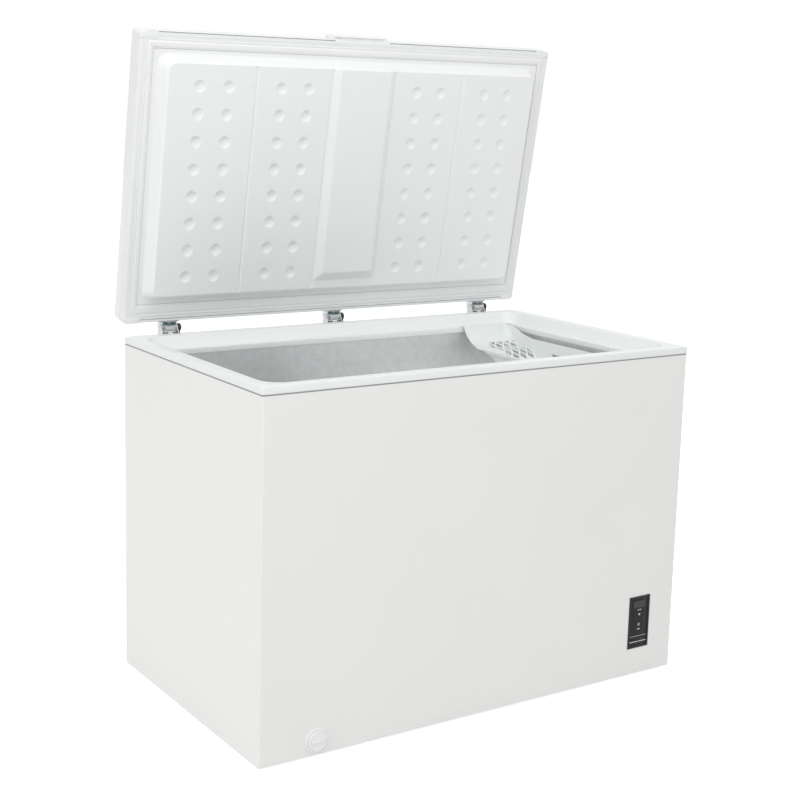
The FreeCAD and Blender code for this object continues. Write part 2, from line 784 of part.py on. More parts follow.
# ---------------------------------------------------------------- compressor bay
def compressor_tray():
    body = new_body("compressor_tray")
    edge = f"({SIDE_X} - sheet_gauge)"
    front = f"({SIDE_Y} - sheet_gauge)"
    sketch = sketch_on(body, "XZ_Plane", f"{SIDE_Y} - 2 * sheet_gauge")
    polygon(sketch, [
        (BAY_X, "base_clearance"), (edge, "base_clearance"), (edge, "base_clearance + tray_gauge"),
        (f"{BAY_X} + tray_gauge", "base_clearance + tray_gauge"),
        (f"{BAY_X} + tray_gauge", "base_clearance + tray_flange"), (BAY_X, "base_clearance + tray_flange"),
    ])
    pad(body, sketch, "cabinet_depth - 3 * sheet_gauge")
    fillet(body, "cabinet_corner", lambda e: e.BoundBox.XLength < 0.01 and e.BoundBox.YLength < 0.01
           and near(e.BoundBox.XMin, edge) and near(e.BoundBox.YMin, f"-{front}"), "Chamfer")
    holes = sketch_on(body, "XY_Plane", "base_clearance + tray_gauge")
    for side in ("-", ""):
        x, y = f"{SIDE_X} - foot_inset", f"{side}({SIDE_Y} - foot_inset)"
        rectangle(holes, f"{x} - foot_stem", f"{x} + foot_stem", f"{y} - foot_stem", f"{y} + foot_stem")
    pocket(body, holes, "2 * tray_gauge")
    return body


def compressor_can():
    """The welded can's form, bevelled at its foot and domed at its top."""
    start = Vector(mm(COMPRESSOR_X), mm(COMPRESSOR_Y), mm("base_clearance + tray_gauge + compressor_lift"))
    high, size = mm("compressor_height"), mm("compressor_size")
    return facets(start, [(0, size * 0.8), (size * 0.25, size), (high - size * 0.5, size), (high, size * 0.6)],
                  FLANGE_SIDES)


def compressor():
    """The can on its foot plate."""
    low, gauge = mm("base_clearance + tray_gauge + compressor_lift"), mm("foot_plate_gauge")
    x, y = mm(COMPRESSOR_X), mm(COMPRESSOR_Y)
    half_x, half_y = mm("mount_spacing_x / 2 + mount_size"), mm("mount_spacing_y / 2 + mount_size")
    plate = box((x - half_x, x + half_x), (y - half_y, y + half_y), (low, low + gauge))
    holes = [column(Vector(x, y, low - gauge), 3 * gauge, mm("bolt_size"), RIVET_SIDES) for x, y in mount_places()]
    return piece("compressor", compressor_can().fuse(plate.cut(holes)).removeSplitter())


def mount_places():
    return [(mm(f"{COMPRESSOR_X} {a} mount_spacing_x / 2"), mm(f"{COMPRESSOR_Y} {b} mount_spacing_y / 2"))
            for a in "-+" for b in "-+"]


def compressor_mounts():
    """Waisted rubber blocks between the tray and the foot plate."""
    low, height, size = mm("base_clearance + tray_gauge"), mm("compressor_lift"), mm("mount_size")
    profile = [(0, size), (height / 2, size * 0.7), (height, size)]
    return piece("compressor_mounts", [facets(Vector(x, y, low), profile, BOSS_SIDES) for x, y in mount_places()])


def compressor_bolts():
    top = mm("base_clearance + tray_gauge + compressor_lift")
    plate, size = mm("foot_plate_gauge"), mm("bolt_size")
    bolts = []
    for x, y in mount_places():
        shank = column(Vector(x, y, top), plate, size, RIVET_SIDES)
        bolts.append(shank.fuse(column(Vector(x, y, top + plate), size, mm("bolt_head"), RIVET_SIDES)))
    return piece("compressor_bolts", bolts)


def relay_cover():
    """The clip-on cover of the starting relay, seated on the can's left side."""
    low = mm("base_clearance + tray_gauge + compressor_lift + relay_lift")
    x, y, half = mm(f"{COMPRESSOR_X} - compressor_size"), mm(COMPRESSOR_Y), mm("relay_width") / 2
    cover = box((x - mm("relay_depth"), x + half), (y - half, y + half), (low, low + mm("relay_height")))
    return piece("relay_cover", cover.cut(compressor_can()))


def filter_drier():
    """The copper drier, drawn in at both ends, upright beside the compressor."""
    size, length, pipe = mm("drier_size"), mm("drier_length"), mm("pipe_half")
    profile = [(0, pipe), (size, size), (length - size, size), (length, pipe)]
    return piece("filter_drier", facets(drier_foot(), profile, DRAIN_SIDES))


def drier_foot():
    return Vector(mm(f"{SIDE_X} - drier_from_side"), mm(f"{SIDE_Y} - drier_from_rear"), mm("drier_low"))


def suction_pipe():
    """From the can up through the roof of the bay to the evaporator."""
    x, y, size, half = mm(COMPRESSOR_X), mm(COMPRESSOR_Y), mm("compressor_size"), mm("pipe_half")
    z = mm("base_clearance + compressor_lift + compressor_height * 0.45")
    out = y - size - mm("pipe_reach")
    points = [Vector(x, y - size / 2, z), Vector(x, out, z), Vector(x, out, mm(BAY_Z))]
    return piece("suction_pipe", tube(points, half, 4 * half).cut(compressor_can()))


def discharge_pipe():
    """From the can over to the drier's lower end."""
    foot, half = drier_foot(), mm("pipe_half")
    below = foot - Vector(0, 0, mm("pipe_reach"))
    can = Vector(mm(COMPRESSOR_X), mm(COMPRESSOR_Y), below.z)
    points = [can, Vector(can.x, foot.y, below.z), below, foot]
    return piece("discharge_pipe", tube(points, half, 3 * half).cut(compressor_can()))


# ---------------------------------------------------------------- rear cover, grille and inlet
COVER_LEFT = f"({BAY_X} + cover_margin)"
COVER_RIGHT = f"({SIDE_X} - return_flange - cover_fit)"
COVER_LOW = "(base_clearance + cover_margin)"
COVER_HIGH = f"({BAY_Z} - cover_margin)"
INLET_X = f"({COVER_LEFT} + inlet_offset)"
INLET_Z = f"({COVER_LOW} + inlet_offset)"


def rear_cover():
    """A screwed plate over the bay, with rows of cooling slots and the cable inlet's hole."""
    body = new_body("rear_cover")
    sketch = sketch_on(body, "XZ_Plane", f"{REAR_Y} + cover_gauge")
    rectangle(sketch, COVER_LEFT, COVER_RIGHT, COVER_LOW, COVER_HIGH)
    pad(body, sketch, "cover_gauge")
    slots = sketch_on(body, "XZ_Plane", f"{REAR_Y} + cover_gauge")
    count = int(mm(f"({COVER_HIGH} - {COVER_LOW} - 4 * cover_margin - louvre_clear) / louvre_pitch"))
    left, right = f"{COVER_LEFT} + 3 * cover_margin", f"{COVER_RIGHT} - 3 * cover_margin"
    for index in range(count):
        top = f"({COVER_HIGH} - 2.5 * cover_margin - {index} * louvre_pitch)"
        rectangle(slots, left, right, f"{top} - louvre_slot", top)
    ring(slots, INLET_X, INLET_Z, "inlet_size / 2 + inlet_fit", RIVET_SIDES)
    pocket(body, slots, "2 * cover_gauge", True)
    return body


def screw_head(start, radius, height):
    return column(start, height, radius, RIVET_SIDES, BACK)


def cover_screws():
    face = mm(f"{REAR_Y} + cover_gauge")
    heads = [screw_head(Vector(x, face, z), mm("screw_head"), mm("screw_rise"))
             for x in (mm(f"{COVER_LEFT} + cover_screw_inset"), mm(f"{COVER_RIGHT} - cover_screw_inset"))
             for z in (mm(f"{COVER_LOW} + cover_screw_inset"), mm(f"{COVER_HIGH} - cover_screw_inset"))]
    return piece("cover_screws", heads)


def side_grille():
    """A moulded grille with sloping slats in the right side's window."""
    body = new_body("side_grille")
    half_y, half_z = "(grille_length / 2 - panel_fit)", "(grille_height / 2 - panel_fit)"
    sketch = sketch_on(body, "YZ_Plane", f"{SIDE_X} - grille_depth", GRILLE_Y, "grille_z")
    rectangle(sketch, f"-{half_y}", half_y, f"-{half_z}", half_z)
    pad(body, sketch, "grille_depth")
    rim = sketch_on(body, "YZ_Plane", SIDE_X, GRILLE_Y, "grille_z")
    edge_y, edge_z = f"({half_y} + grille_rim)", f"({half_z} + grille_rim)"
    rectangle(rim, f"-{edge_y}", edge_y, f"-{edge_z}", edge_z)
    pad(body, rim, "sheet_gauge")
    slots = sketch_on(body, "YZ_Plane", f"{SIDE_X} + sheet_gauge", GRILLE_Y, "grille_z")
    step = "((grille_height - 2 * grille_edge) / grille_bars)"
    end = "(grille_length / 2 - grille_edge)"
    for index in range(int(mm("grille_bars"))):
        low = f"(grille_edge - grille_height / 2 + {index} * {step})"
        rectangle(slots, f"-{end}", end, f"{low} + grille_bar / 2", f"{low} + {step} - grille_bar / 2")
    pocket(body, slots, "2 * grille_depth")
    return body


def cable_inlet():
    """The six-sided bush that the mains lead would come out of."""
    face = Vector(mm(INLET_X), mm(f"{REAR_Y} + cover_gauge"), mm(INLET_Z))
    size, neck_length, nose_length = mm("inlet_size"), mm("inlet_neck"), mm("inlet_nose")
    neck = column(face - BACK * neck_length, neck_length, size / 2, RIVET_SIDES, BACK)
    nose = facets(face, [(0, size), (mm("inlet_collar"), size), (nose_length, size * 0.6)], RIVET_SIDES, BACK)
    bore = column(face - BACK * 2 * neck_length, 2 * (neck_length + nose_length), mm("inlet_bore"), RIVET_SIDES, BACK)
    return piece("cable_inlet", neck.fuse(nose).cut(bore))


# ---------------------------------------------------------------- control panel
OVERLAY_BACK = f"({FRONT} - bezel_proud + overlay_gauge + overlay_sink)"
FASCIA_BACK = f"({FRONT} - bezel_proud + fascia_depth)"


def panel_sketch(body, level):
    return sketch_on(body, "XZ_Plane", level, PANEL_X, "panel_z")


def centred(sketch, half_x, half_z):
    return rectangle(sketch, f"-({half_x})", half_x, f"-({half_z})", half_z)


def key_places():
    return [f"(key_low - panel_z + {index} * key_pitch)" for index in range(2)]


def key_holes(body, level):
    sketch = panel_sketch(body, level)
    for z in key_places():
        half = "(key_width / 2 + key_fit)"
        rectangle(sketch, f"-{half}", half, f"{z} - key_height / 2 - key_fit", f"{z} + key_height / 2 + key_fit")
    return sketch


def control_fascia():
    """The bezel: a flange on the sheet, a tray through its window and a floor with the key holes."""
    body = new_body("control_fascia")
    flange = centred(panel_sketch(body, FRONT), "panel_width / 2", "panel_height / 2")
    pad(body, flange, "bezel_proud")
    inset = "(bezel_width / 2 + panel_fit)"
    boss = centred(panel_sketch(body, FASCIA_BACK), f"panel_width / 2 - {inset}", f"panel_height / 2 - {inset}")
    pad(body, boss, "fascia_depth - bezel_proud")
    tray = centred(panel_sketch(body, f"{FRONT} - bezel_proud"), "panel_width / 2 - bezel_width",
                   "panel_height / 2 - bezel_width")
    pocket(body, tray, "overlay_gauge + overlay_sink")
    pocket(body, key_holes(body, f"{FRONT} - bezel_proud"), "2 * fascia_depth")
    return body


def control_overlay():
    """The smoked display window that fills the bezel."""
    body = new_body("control_overlay")
    sketch = centred(panel_sketch(body, OVERLAY_BACK), "panel_width / 2 - bezel_width",
                     "panel_height / 2 - bezel_width")
    pad(body, sketch, "overlay_gauge")
    pocket(body, key_holes(body, f"{OVERLAY_BACK} - overlay_gauge"), "2 * overlay_gauge")
    return body


def push_key(label, place):
    """A key cap with a collar that stops it behind the fascia's floor."""
    body = new_body(label)
    cap = panel_sketch(body, FASCIA_BACK)
    half_x, half_z = "key_width / 2", "key_height / 2"
    rectangle(cap, f"-{half_x}", half_x, f"{place} - {half_z}", f"{place} + {half_z}")
    pad(body, cap, f"{FASCIA_BACK} - {OVERLAY_BACK} + overlay_gauge + key_proud")
    collar = panel_sketch(body, f"{FASCIA_BACK} + key_collar_gauge")
    rectangle(collar, f"-{half_x} - key_collar", f"{half_x} + key_collar", f"{place} - {half_z} - key_collar",
              f"{place} + {half_z} + key_collar")
    pad(body, collar, "key_collar_gauge")
    return body


def control_board():
    """The circuit board with one switch behind each key."""
    body = new_body("control_board")
    face = f"({FASCIA_BACK} + key_collar_gauge + key_travel + switch_gap + switch_height)"
    wall = "(bezel_width / 2 + control_box_wall - control_box_margin)"
    board = panel_sketch(body, f"{face} + board_gauge")
    pad(body, centred(board, f"panel_width / 2 - {wall}", f"panel_height / 2 - {wall}"), "board_gauge")
    switches = panel_sketch(body, face)
    half = "switch_size / 2"
    for z in key_places():
        rectangle(switches, f"-{half}", half, f"{z} - {half}", f"{z} + {half}")
    pad(body, switches, "switch_height")
    return body


def control_housing():
    """The box behind the sheet that keeps the board dry."""
    body = new_body("control_housing")
    front = f"({FRONT} + sheet_gauge)"
    wall = "(bezel_width / 2 - control_box_margin)"
    outer = panel_sketch(body, f"{front} + control_box_depth")
    pad(body, centred(outer, f"panel_width / 2 - {wall}", f"panel_height / 2 - {wall}"), "control_box_depth")
    inset = f"({wall} + control_box_wall)"
    inner = centred(panel_sketch(body, front), f"panel_width / 2 - {inset}", f"panel_height / 2 - {inset}")
    pocket(body, inner, "control_box_depth - control_box_wall")
    return body


# ---------------------------------------------------------------- drain
def drain_points():
    """The drain's mouth at the front sheet, its corner under the floor hole, and that hole."""
    x, y, z = mm(DRAIN_X), mm(DRAIN_Y), mm("drain_z")
    top = mm(f"{LINER_FLOOR} - liner_gauge")
    return Vector(x, mm(f"{FRONT} + sheet_gauge"), z), Vector(x, y, z), Vector(x, y, top)


def drain_front():
    return Vector(mm(DRAIN_X), mm(FRONT), mm("drain_z"))


def drain_column(near_end, far_end, radius):
    """A column on the outlet's axis, measured back from the front sheet's face."""
    return column(drain_front() + BACK * near_end, far_end - near_end, radius, DRAIN_SIDES, BACK)


def drain_outlet():
    """The round flange on the front sheet with the sleeve that the spout slides in."""
    size, flange = mm("drain_pipe"), mm("drain_flange")
    thick, sleeve = mm("drain_flange_gauge"), mm("drain_sleeve")
    profile = [(-thick, flange - mm("drain_flange_bevel")), (0, flange)]
    solid = facets(drain_front(), profile, FLANGE_SIDES, BACK).fuse(drain_column(0, sleeve, size))
    return piece("drain_outlet", solid.cut(drain_column(-2 * thick, 2 * sleeve, size - mm("drain_wall"))))


def drain_spout():
    """The tube that is drawn out to empty the melt water."""
    thick, outside = mm("drain_flange_gauge"), mm("drain_pipe - drain_wall - drain_fit")
    outer = drain_column(-thick, mm("spout_length") - thick, outside)
    return piece("drain_spout", outer.cut(drain_column(-2 * thick, mm("spout_length"), outside - mm("drain_wall"))))


def drain_knob():
    """The cap that closes the spout, with a grip bar across it."""
    start = drain_front() - BACK * mm("drain_flange_gauge")
    size, height = mm("knob_size"), mm("knob_height")
    cap = facets(start, [(-height, size - mm("knob_bevel")), (0, size)], FLANGE_SIDES, BACK)
    long, half, face = size - mm("knob_bar_inset"), mm("knob_bar_width") / 2, start.y - height
    grip = box((start.x - long, start.x + long), (face - mm("knob_bar"), face), (start.z - half, start.z + half))
    return piece("drain_knob", cap.fuse(grip))


def drain_hose():
    """The soft pipe from the floor fitting down and forward to the outlet's sleeve."""
    mouth, corner, top = drain_points()
    mouth = mouth + BACK * mm("drain_sleeve - sheet_gauge")
    bore, wall = mm("drain_pipe - drain_wall"), mm("hose_wall")
    run, rise = (corner - mouth).Length, (top - corner).Length
    hose = column(mouth, run + bore, bore + wall, DRAIN_SIDES, BACK)
    hose = hose.fuse(column(corner - Vector(0, 0, bore), rise + bore, bore + wall, DRAIN_SIDES))
    bores = [column(mouth, run, bore, DRAIN_SIDES, BACK), column(corner, rise, bore, DRAIN_SIDES)]
    return piece("drain_hose", hose.cut(bores).removeSplitter())


def drain_fitting():
    """The flanged ring that clamps the liner's floor to the hose."""
    gauge, size, rise = mm("liner_gauge"), mm("drain_pipe"), mm("fitting_rise")
    start = Vector(mm(DRAIN_X), mm(DRAIN_Y), mm(LINER_FLOOR))
    solid = column(start - Vector(0, 0, gauge), gauge, size, DRAIN_SIDES)
    solid = solid.fuse(column(start, rise, size + mm("fitting_brim"), DRAIN_SIDES))
    bore = column(start - Vector(0, 0, 2 * gauge), 3 * gauge + rise, size - mm("drain_wall"), DRAIN_SIDES)
    return piece("drain_fitting", solid.cut(bore))


def drain_plug():
    """The rubber stopper of the floor outlet, with a pull tab."""
    size, rise, brim = mm("drain_pipe - drain_wall - drain_fit"), mm("fitting_rise"), mm("plug_brim")
    start = Vector(mm(DRAIN_X), mm(DRAIN_Y), mm(LINER_FLOOR))
    stem = column(start - Vector(0, 0, mm("plug_stem")), mm("plug_stem") + rise, size, DRAIN_SIDES)
    head = column(start + Vector(0, 0, rise), brim, size + mm("fitting_brim") / 2, DRAIN_SIDES)
    low, tab, half = start.z + rise + brim, mm("plug_tab"), mm("plug_tab_gauge") / 2
    grip = box((start.x - tab / 2, start.x + tab / 2), (start.y - half, start.y + half), (low, low + tab))
    return piece("drain_plug", stem.fuse([head, grip]))


# ---------------------------------------------------------------- basket
def side_offset(points, distance):
    """The open line moved sideways by a distance, with mitred corners."""
    moved = []
    for index, (y, z) in enumerate(points):
        before = points[max(index - 1, 0)]
        after = points[min(index + 1, len(points) - 1)]
        into = Vector(y - before[0], z - before[1], 0)
        out = Vector(after[0] - y, after[1] - z, 0)
        into = into if into.Length else out
        out = out if out.Length else into
        into.normalize()
        out.normalize()
        normal = Vector(-into.y - out.y, into.x + out.x, 0).normalize()
        reach = distance / normal.dot(Vector(-out.y, out.x, 0))
        moved.append((y + normal.x * reach, z + normal.y * reach))
    return moved


BASKET_REACH = f"({LINER_Y} + basket_bearing)"
BASKET_RIGHT = f"({LINER_X} - basket_gap)"

# the fall of the basket's end and the top line of its high wall, as the distance in from the flange's edge
# and the height above the ledge
BASKET_END = [(0, 0), (16, 0), (29, -21), (46, -34), (77, -47), (117, -49), (131, -54), (161, -69), (184, -96)]
BASKET_FOOT = 10
HIGH_WALL = [(40, 2), (64, -4), (80, -11), (99, -16), (130, -21)]


def both_ways(half):
    """The line from the far end to the near end, mirrored about the middle."""
    return half + [(-y, z) for y, z in reversed(half)]


def basket():
    """A hanging basket: stepped ends with a diamond lattice, a high right wall and a low left wall."""
    wall, reach, ledge = mm("basket_wall"), mm(BASKET_REACH), mm(LEDGE)
    right = mm(BASKET_RIGHT)
    left = right - mm("basket_width")
    flange = BASKET_END[1][0]
    half = [(reach - inset, ledge + height) for inset, height in BASKET_END]
    half.append((half[-1][0] - BASKET_FOOT, ledge - mm("basket_drop")))
    under = both_ways(half)
    inner = side_offset(under[::-1], wall)[::-1]
    solid = slab(under + inner[::-1], left, right)
    top = both_ways([(reach - inset, ledge + height) for inset, height in HIGH_WALL])
    rise = [(y, z) for y, z in inner if abs(y) < reach - 2 * flange]
    solid = solid.fuse(slab(top + rise[::-1], right - wall, right))
    low_top, half_low = ledge - mm("low_wall_drop"), reach - mm("low_wall_inset")
    flat = [(y, z) for y, z in inner if z < low_top]
    solid = solid.fuse(slab([(-half_low, low_top)] + flat[::-1] + [(half_low, low_top)], left, left + wall))
    edge, gauge = left - mm("low_wall_lip"), mm("lip_gauge")
    solid = solid.fuse([
        box((edge, left), (-half_low, half_low), (low_top - wall, low_top)),
        box((edge, edge + gauge), (-half_low, half_low), (low_top - mm("lip_drop"), low_top)),
    ])
    for y in ((-reach, flange - reach), (reach - flange, reach)):
        solid = solid.fuse(box((right - wall, right + mm("basket_flange")), y, (ledge, ledge + wall)))
    start, slit_top = mm("slit_start"), ledge - mm("slit_drop")
    slit = box((right - 2 * wall, right + wall), (start, start + mm("slit_length")),
               (slit_top - mm("slit_height"), slit_top))
    return piece("basket", solid.cut([slit] + lattice(left, right)).removeSplitter())


def lattice(left, right):
    """Upright prisms for the diamond holes of both ends."""
    pitch_x, pitch_y, bar = mm("lattice_pitch_x"), mm("lattice_pitch_y"), mm("lattice_bar")
    lean = math.atan(pitch_x / pitch_y)
    half_x = pitch_x / 2 - bar / 2 / math.cos(lean)
    half_y = half_x * pitch_y / pitch_x
    window_left, window_right = left + 2 * pitch_x, right - 2 * mm("basket_wall")
    window_low, window_high = mm(f"{BASKET_REACH} - lattice_far"), mm(f"{BASKET_REACH} - lattice_near")
    low, high = mm(f"{LEDGE} - lattice_deep"), mm(LEDGE)
    rows = int(2 * (window_high - window_low) / pitch_y) + 2
    files = int((window_right - window_left) / pitch_x) + 2
    least = half_x * half_y / 2
    holes = []
    for side in (-1, 1):
        window = box((window_left, window_right), (side * window_low, side * window_high), (low, high))
        for row_number in range(rows):
            y = side * (window_high - row_number * pitch_y / 2)
            for file_number in range(files):
                x = window_right - (file_number + row_number % 2 / 2) * pitch_x
                diamond = Part.makePolygon([
                    Vector(x - half_x, y, low), Vector(x, y - half_y, low), Vector(x + half_x, y, low),
                    Vector(x, y + half_y, low), Vector(x - half_x, y, low),
                ])
                hole = Part.Face(diamond).extrude(Vector(0, 0, high - low)).common(window)
                if hole.Volume > least * (high - low):
                    holes.append(hole)
    return holes


# ---------------------------------------------------------------- lid, drawn closed
FRAME_X = f"({LID_X} - frame_width_x)"
FRAME_Y = f"({LID_Y} - frame_width_y)"
PANEL_LOW = f"({LID_LOW} - panel_raise)"
PANEL_BASE = (f"({LID_X} - panel_inset_x)", f"({LID_Y} - panel_inset_y)")
PANEL_TOP = (f"({PANEL_BASE[0]} - panel_slope_x)", f"({PANEL_BASE[1]} - panel_slope_y)")
SPINE_END = f"({PANEL_TOP[1]} - spine_end_gap)"


def lid_outline(body, level, inset):
    sketch = sketch_on(body, "XY_Plane", level)
    return rounded(sketch, f"{LID_X} - {inset}", f"{LID_Y} - {inset}", f"lid_corner - {inset}")


def lid_skin():
    """The painted sheet: crowned top edges, straight sides and a hem turned in below."""
    body = new_body("lid_skin")
    sheet = sketch_on(body, "XY_Plane", LID_LOW)
    pad(body, rectangle(sheet, f"-{LID_X}", LID_X, f"-{LID_Y}", LID_Y), "lid_thickness")
    fillet(body, "lid_corner", is_upright)
    pocket(body, lid_outline(body, LID_LOW, "lid_hem"), "lid_gauge", True)
    inner = lid_outline(body, f"{LID_LOW} + lid_gauge", "lid_gauge")
    pocket(body, inner, "lid_thickness - 2 * lid_gauge", True)
    fillet(body, "lid_crown - lid_gauge", lambda e: is_level(e, f"{LID_TOP} - lid_gauge"), "Chamfer")
    fillet(body, "lid_crown", lambda e: is_level(e, LID_TOP))
    return body


def lid_frame():
    """The plastic edge frame: a rebate over the hem and the gasket's groove."""
    body = new_body("lid_frame")
    base = lid_outline(body, f"{LID_LOW} + lid_gauge", "lid_gauge")
    rounded(base, FRAME_X, FRAME_Y, "frame_corner")
    pad(body, base, "frame_depth - lid_gauge")
    rim = lid_outline(body, LID_LOW, "lid_hem")
    rounded(rim, FRAME_X, FRAME_Y, "frame_corner")
    pad(body, rim, "lid_gauge")
    pocket(body, gasket_band(body, LID_LOW), "gasket_seat", True)
    return body


def gasket_band(body, level):
    sketch = sketch_on(body, "XY_Plane", level)
    for inset in ("gasket_inset", "(gasket_inset + gasket_width)"):
        rounded(sketch, f"{LID_X} - {inset}", f"{LID_Y} - {inset}", f"frame_corner + frame_width_x - {inset}")
    return sketch


def lid_gasket():
    """The magnetic seal, seated in the frame's groove and meeting the rim when the lid is down."""
    body = new_body("lid_gasket")
    pad(body, gasket_band(body, f"{LID_LOW} - gasket_proud"), "gasket_proud + gasket_seat")
    return body


def bulge(body, kind, inset, level, top):
    """The raised panel's tapered form, drawn in by an inset."""
    base = sketch_on(body, "XY_Plane", level)
    rounded(base, *(f"{half} - {inset}" for half in PANEL_BASE), "panel_corner + panel_corner_growth")
    crown = sketch_on(body, "XY_Plane", top)
    rounded(crown, *(f"{half} - {inset}" for half in PANEL_TOP), "panel_corner")
    return loft(body, kind, [base, crown])


def lid_liner():
    """The formed inner panel: a raised field with grooves, rows of dimples and a centre spine."""
    body = new_body("lid_liner_sheet")
    border = sketch_on(body, "XY_Plane", LID_LOW)
    rounded(border, FRAME_X, FRAME_Y, "frame_corner")
    pad(body, border, "liner_sheet")
    bulge(body, "AdditiveLoft", "0", LID_LOW, PANEL_LOW)
    stations = {
        f"-{PANEL_TOP[1]}": "spine_tip", f"spine_nose - {PANEL_TOP[1]}": "spine_front",
        f"{SPINE_END} - spine_bevel": "spine_rear", SPINE_END: "spine_tip",
    }
    spine = []
    for y, rise in stations.items():
        section = sketch_on(body, "XZ_Plane", y)
        foot, crown = f"({PANEL_LOW} + liner_sheet / 2)", f"({PANEL_LOW} - {rise})"
        spine.append(polygon(section, [
            ("-spine_base", foot), ("spine_base", foot), ("spine_top", crown), ("-spine_top", crown),
        ]))
    loft(body, "AdditiveLoft", spine)
    bulge(body, "SubtractiveLoft", "panel_gauge", f"{LID_LOW} + liner_sheet", f"{PANEL_LOW} + panel_gauge")
    grooves = sketch_on(body, "XZ_Plane", PANEL_BASE[1])
    face = f"({PANEL_LOW} - {CUT_START})"
    for x in ("-inner_groove", "inner_groove", "-outer_groove", "outer_groove"):
        left, right = f"{x} - groove_width / 2", f"{x} + groove_width / 2"
        polygon(grooves, [(left, face), (right, face), (x, f"{PANEL_LOW} + groove_depth")])
    pocket(body, grooves, f"2 * {PANEL_BASE[1]}", True)
    profile = [(-CUT_START, mm("dimple_size")), (mm("dimple_depth"), 0)]
    dimples = [facets(Vector(x, y, mm(PANEL_LOW)), profile, DIMPLE_SIDES)
               for x in dimple_columns() for y in dimple_rows()]
    tool = piece("lid_liner_dimples", Part.makeCompound(dimples))
    liner = doc.addObject("Part::Cut", "lid_liner_cut")
    liner.Base = body
    liner.Tool = tool
    liner.Label = "lid_liner"
    doc.recompute()
    return liner


def dimple_columns():
    """Two columns in each of the four side fields, a third of the field in from its grooves."""
    inner, outer, edge = mm("inner_groove"), mm("outer_groove"), mm(PANEL_TOP[0])
    columns = [inner + (outer - inner) * share for share in (0.32, 0.68)]
    columns += [outer + (edge - outer) * share for share in (0.32, 0.66)]
    return [-x for x in columns] + columns


def dimple_rows():
    """As many rows as fit between the margins, centred."""
    pitch = mm("dimple_pitch")
    count = int(2 * mm(f"{PANEL_TOP[1]} - dimple_margin") / pitch) + 1
    return [(row_number - (count - 1) / 2) * pitch for row_number in range(count)]


def lid_foam():
    """The insulation between the skin and the liner."""
    body = new_body("lid_foam")
    inner = lid_outline(body, f"{LID_LOW} + frame_depth", "lid_gauge")
    pad(body, inner, "lid_thickness - frame_depth - lid_gauge")
    fillet(body, "lid_crown - lid_gauge", lambda e: is_level(e, f"{LID_TOP} - lid_gauge"), "Chamfer")
    field = sketch_on(body, "XY_Plane", f"{LID_LOW} + liner_sheet")
    rounded(field, FRAME_X, FRAME_Y, "frame_corner")
    pad(body, field, "frame_depth - liner_sheet")
    bulge(body, "AdditiveLoft", "panel_gauge", f"{LID_LOW} + liner_sheet", f"{PANEL_LOW} + panel_gauge")
    return body


def lid_corner_caps():
    """Thin moulded caps over the four corners of the frame."""
    gauge = mm("cap_gauge")
    low = mm(LID_LOW) - gauge
    outline = box((-mm(LID_X), mm(LID_X)), (-mm(LID_Y), mm(LID_Y)), (low, low + gauge))
    corners = [edge for edge in outline.Edges if edge.BoundBox.ZLength > gauge / 2]
    outline = outline.makeFillet(mm("lid_corner"), corners)
    caps = []
    for side_x in (-1, 1):
        for side_y in (-1, 1):
            x = (side_x * mm(f"{LID_X} - cap_length"), side_x * mm(LID_X))
            y = (side_y * mm(f"{LID_Y} - cap_width"), side_y * mm(LID_Y))
            caps.append(box(x, y, (low, low + gauge)).common(outline))
    return piece("lid_corner_caps", caps)


def lid_plugs():
    """A dark plug over each outer hinge, between the seal and the panel."""
    y = mm(f"({FRAME_Y} + {LID_Y} - gasket_inset - gasket_width) / 2")
    x, z, gauge = mm(HINGE_X), mm(f"{LID_LOW} - plug_gauge"), mm("plug_gauge")
    plugs = [column(Vector(place, y, z), gauge, mm("plug_size"), BOSS_SIDES) for place in (-x, x)]
    return piece("lid_plugs", plugs)


def lid_handle():
    """The grip on the front edge: a lip bowed over a finger recess that is open below."""
    body = new_body("lid_handle")
    low, high = f"({LID_LOW} + handle_low)", f"({LID_LOW} + handle_low + handle_rise)"
    face = f"(-{LID_Y})"
    sketch = sketch_on(body, "YZ_Plane", "-handle_width / 2")
    polygon(sketch, [
        (face, high), (f"{face} - handle_reach + handle_bevel", high),
        (f"{face} - handle_reach", f"{high} - handle_slope"), (f"{face} - handle_reach", low), (face, low),
    ])
    pad(body, sketch, "handle_width")
    hollow = sketch_on(body, "XY_Plane", low)
    end = "(handle_width / 2 - handle_wall)"
    rectangle(hollow, f"-{end}", end, f"{face} - handle_reach + handle_wall", face)
    pocket(body, hollow, "handle_rise - 2 * handle_wall", True)
    fillet(body, "handle_corner", lambda e: is_upright(e) and near(e.BoundBox.YMin, f"{face} - handle_reach"))
    return body


# ---------------------------------------------------------------- hinges, drawn about the pin's axis
PLACES = {"left": -1, "centre": 0, "right": 1}
HOUSING_SIDE = "(ear_gap + ear_gauge + side_play + housing_gauge)"


def at_hinge(shape, place):
    moved = shape.copy()
    moved.translate(Vector(place * mm(HINGE_X), mm(HINGE_Y), mm(HINGE_Z)))
    return moved


def mirrored_pair(plate):
    return [plate, plate.mirror(Vector(0, 0, 0), Vector(1, 0, 0))]


def ear(corners, boss_from, boss_to, radius, x_low, x_high):
    """A plate with a boss about the pin: straight edges between two ends of the boss's facets."""
    steps = round((boss_to - boss_from) / (math.pi / BOSS_SIDES))
    angles = [boss_from + (boss_to - boss_from) * step / steps for step in range(steps + 1)]
    outline = [(radius * math.cos(angle), radius * math.sin(angle)) for angle in angles]
    return slab(corners + outline, x_low, x_high)


def across_pin(low, high, radius, sides, y=0, z=0):
    """A many-sided column that lies along the pin."""
    return column(Vector(low, y, z), high - low, radius, sides, Vector(1, 0, 0))


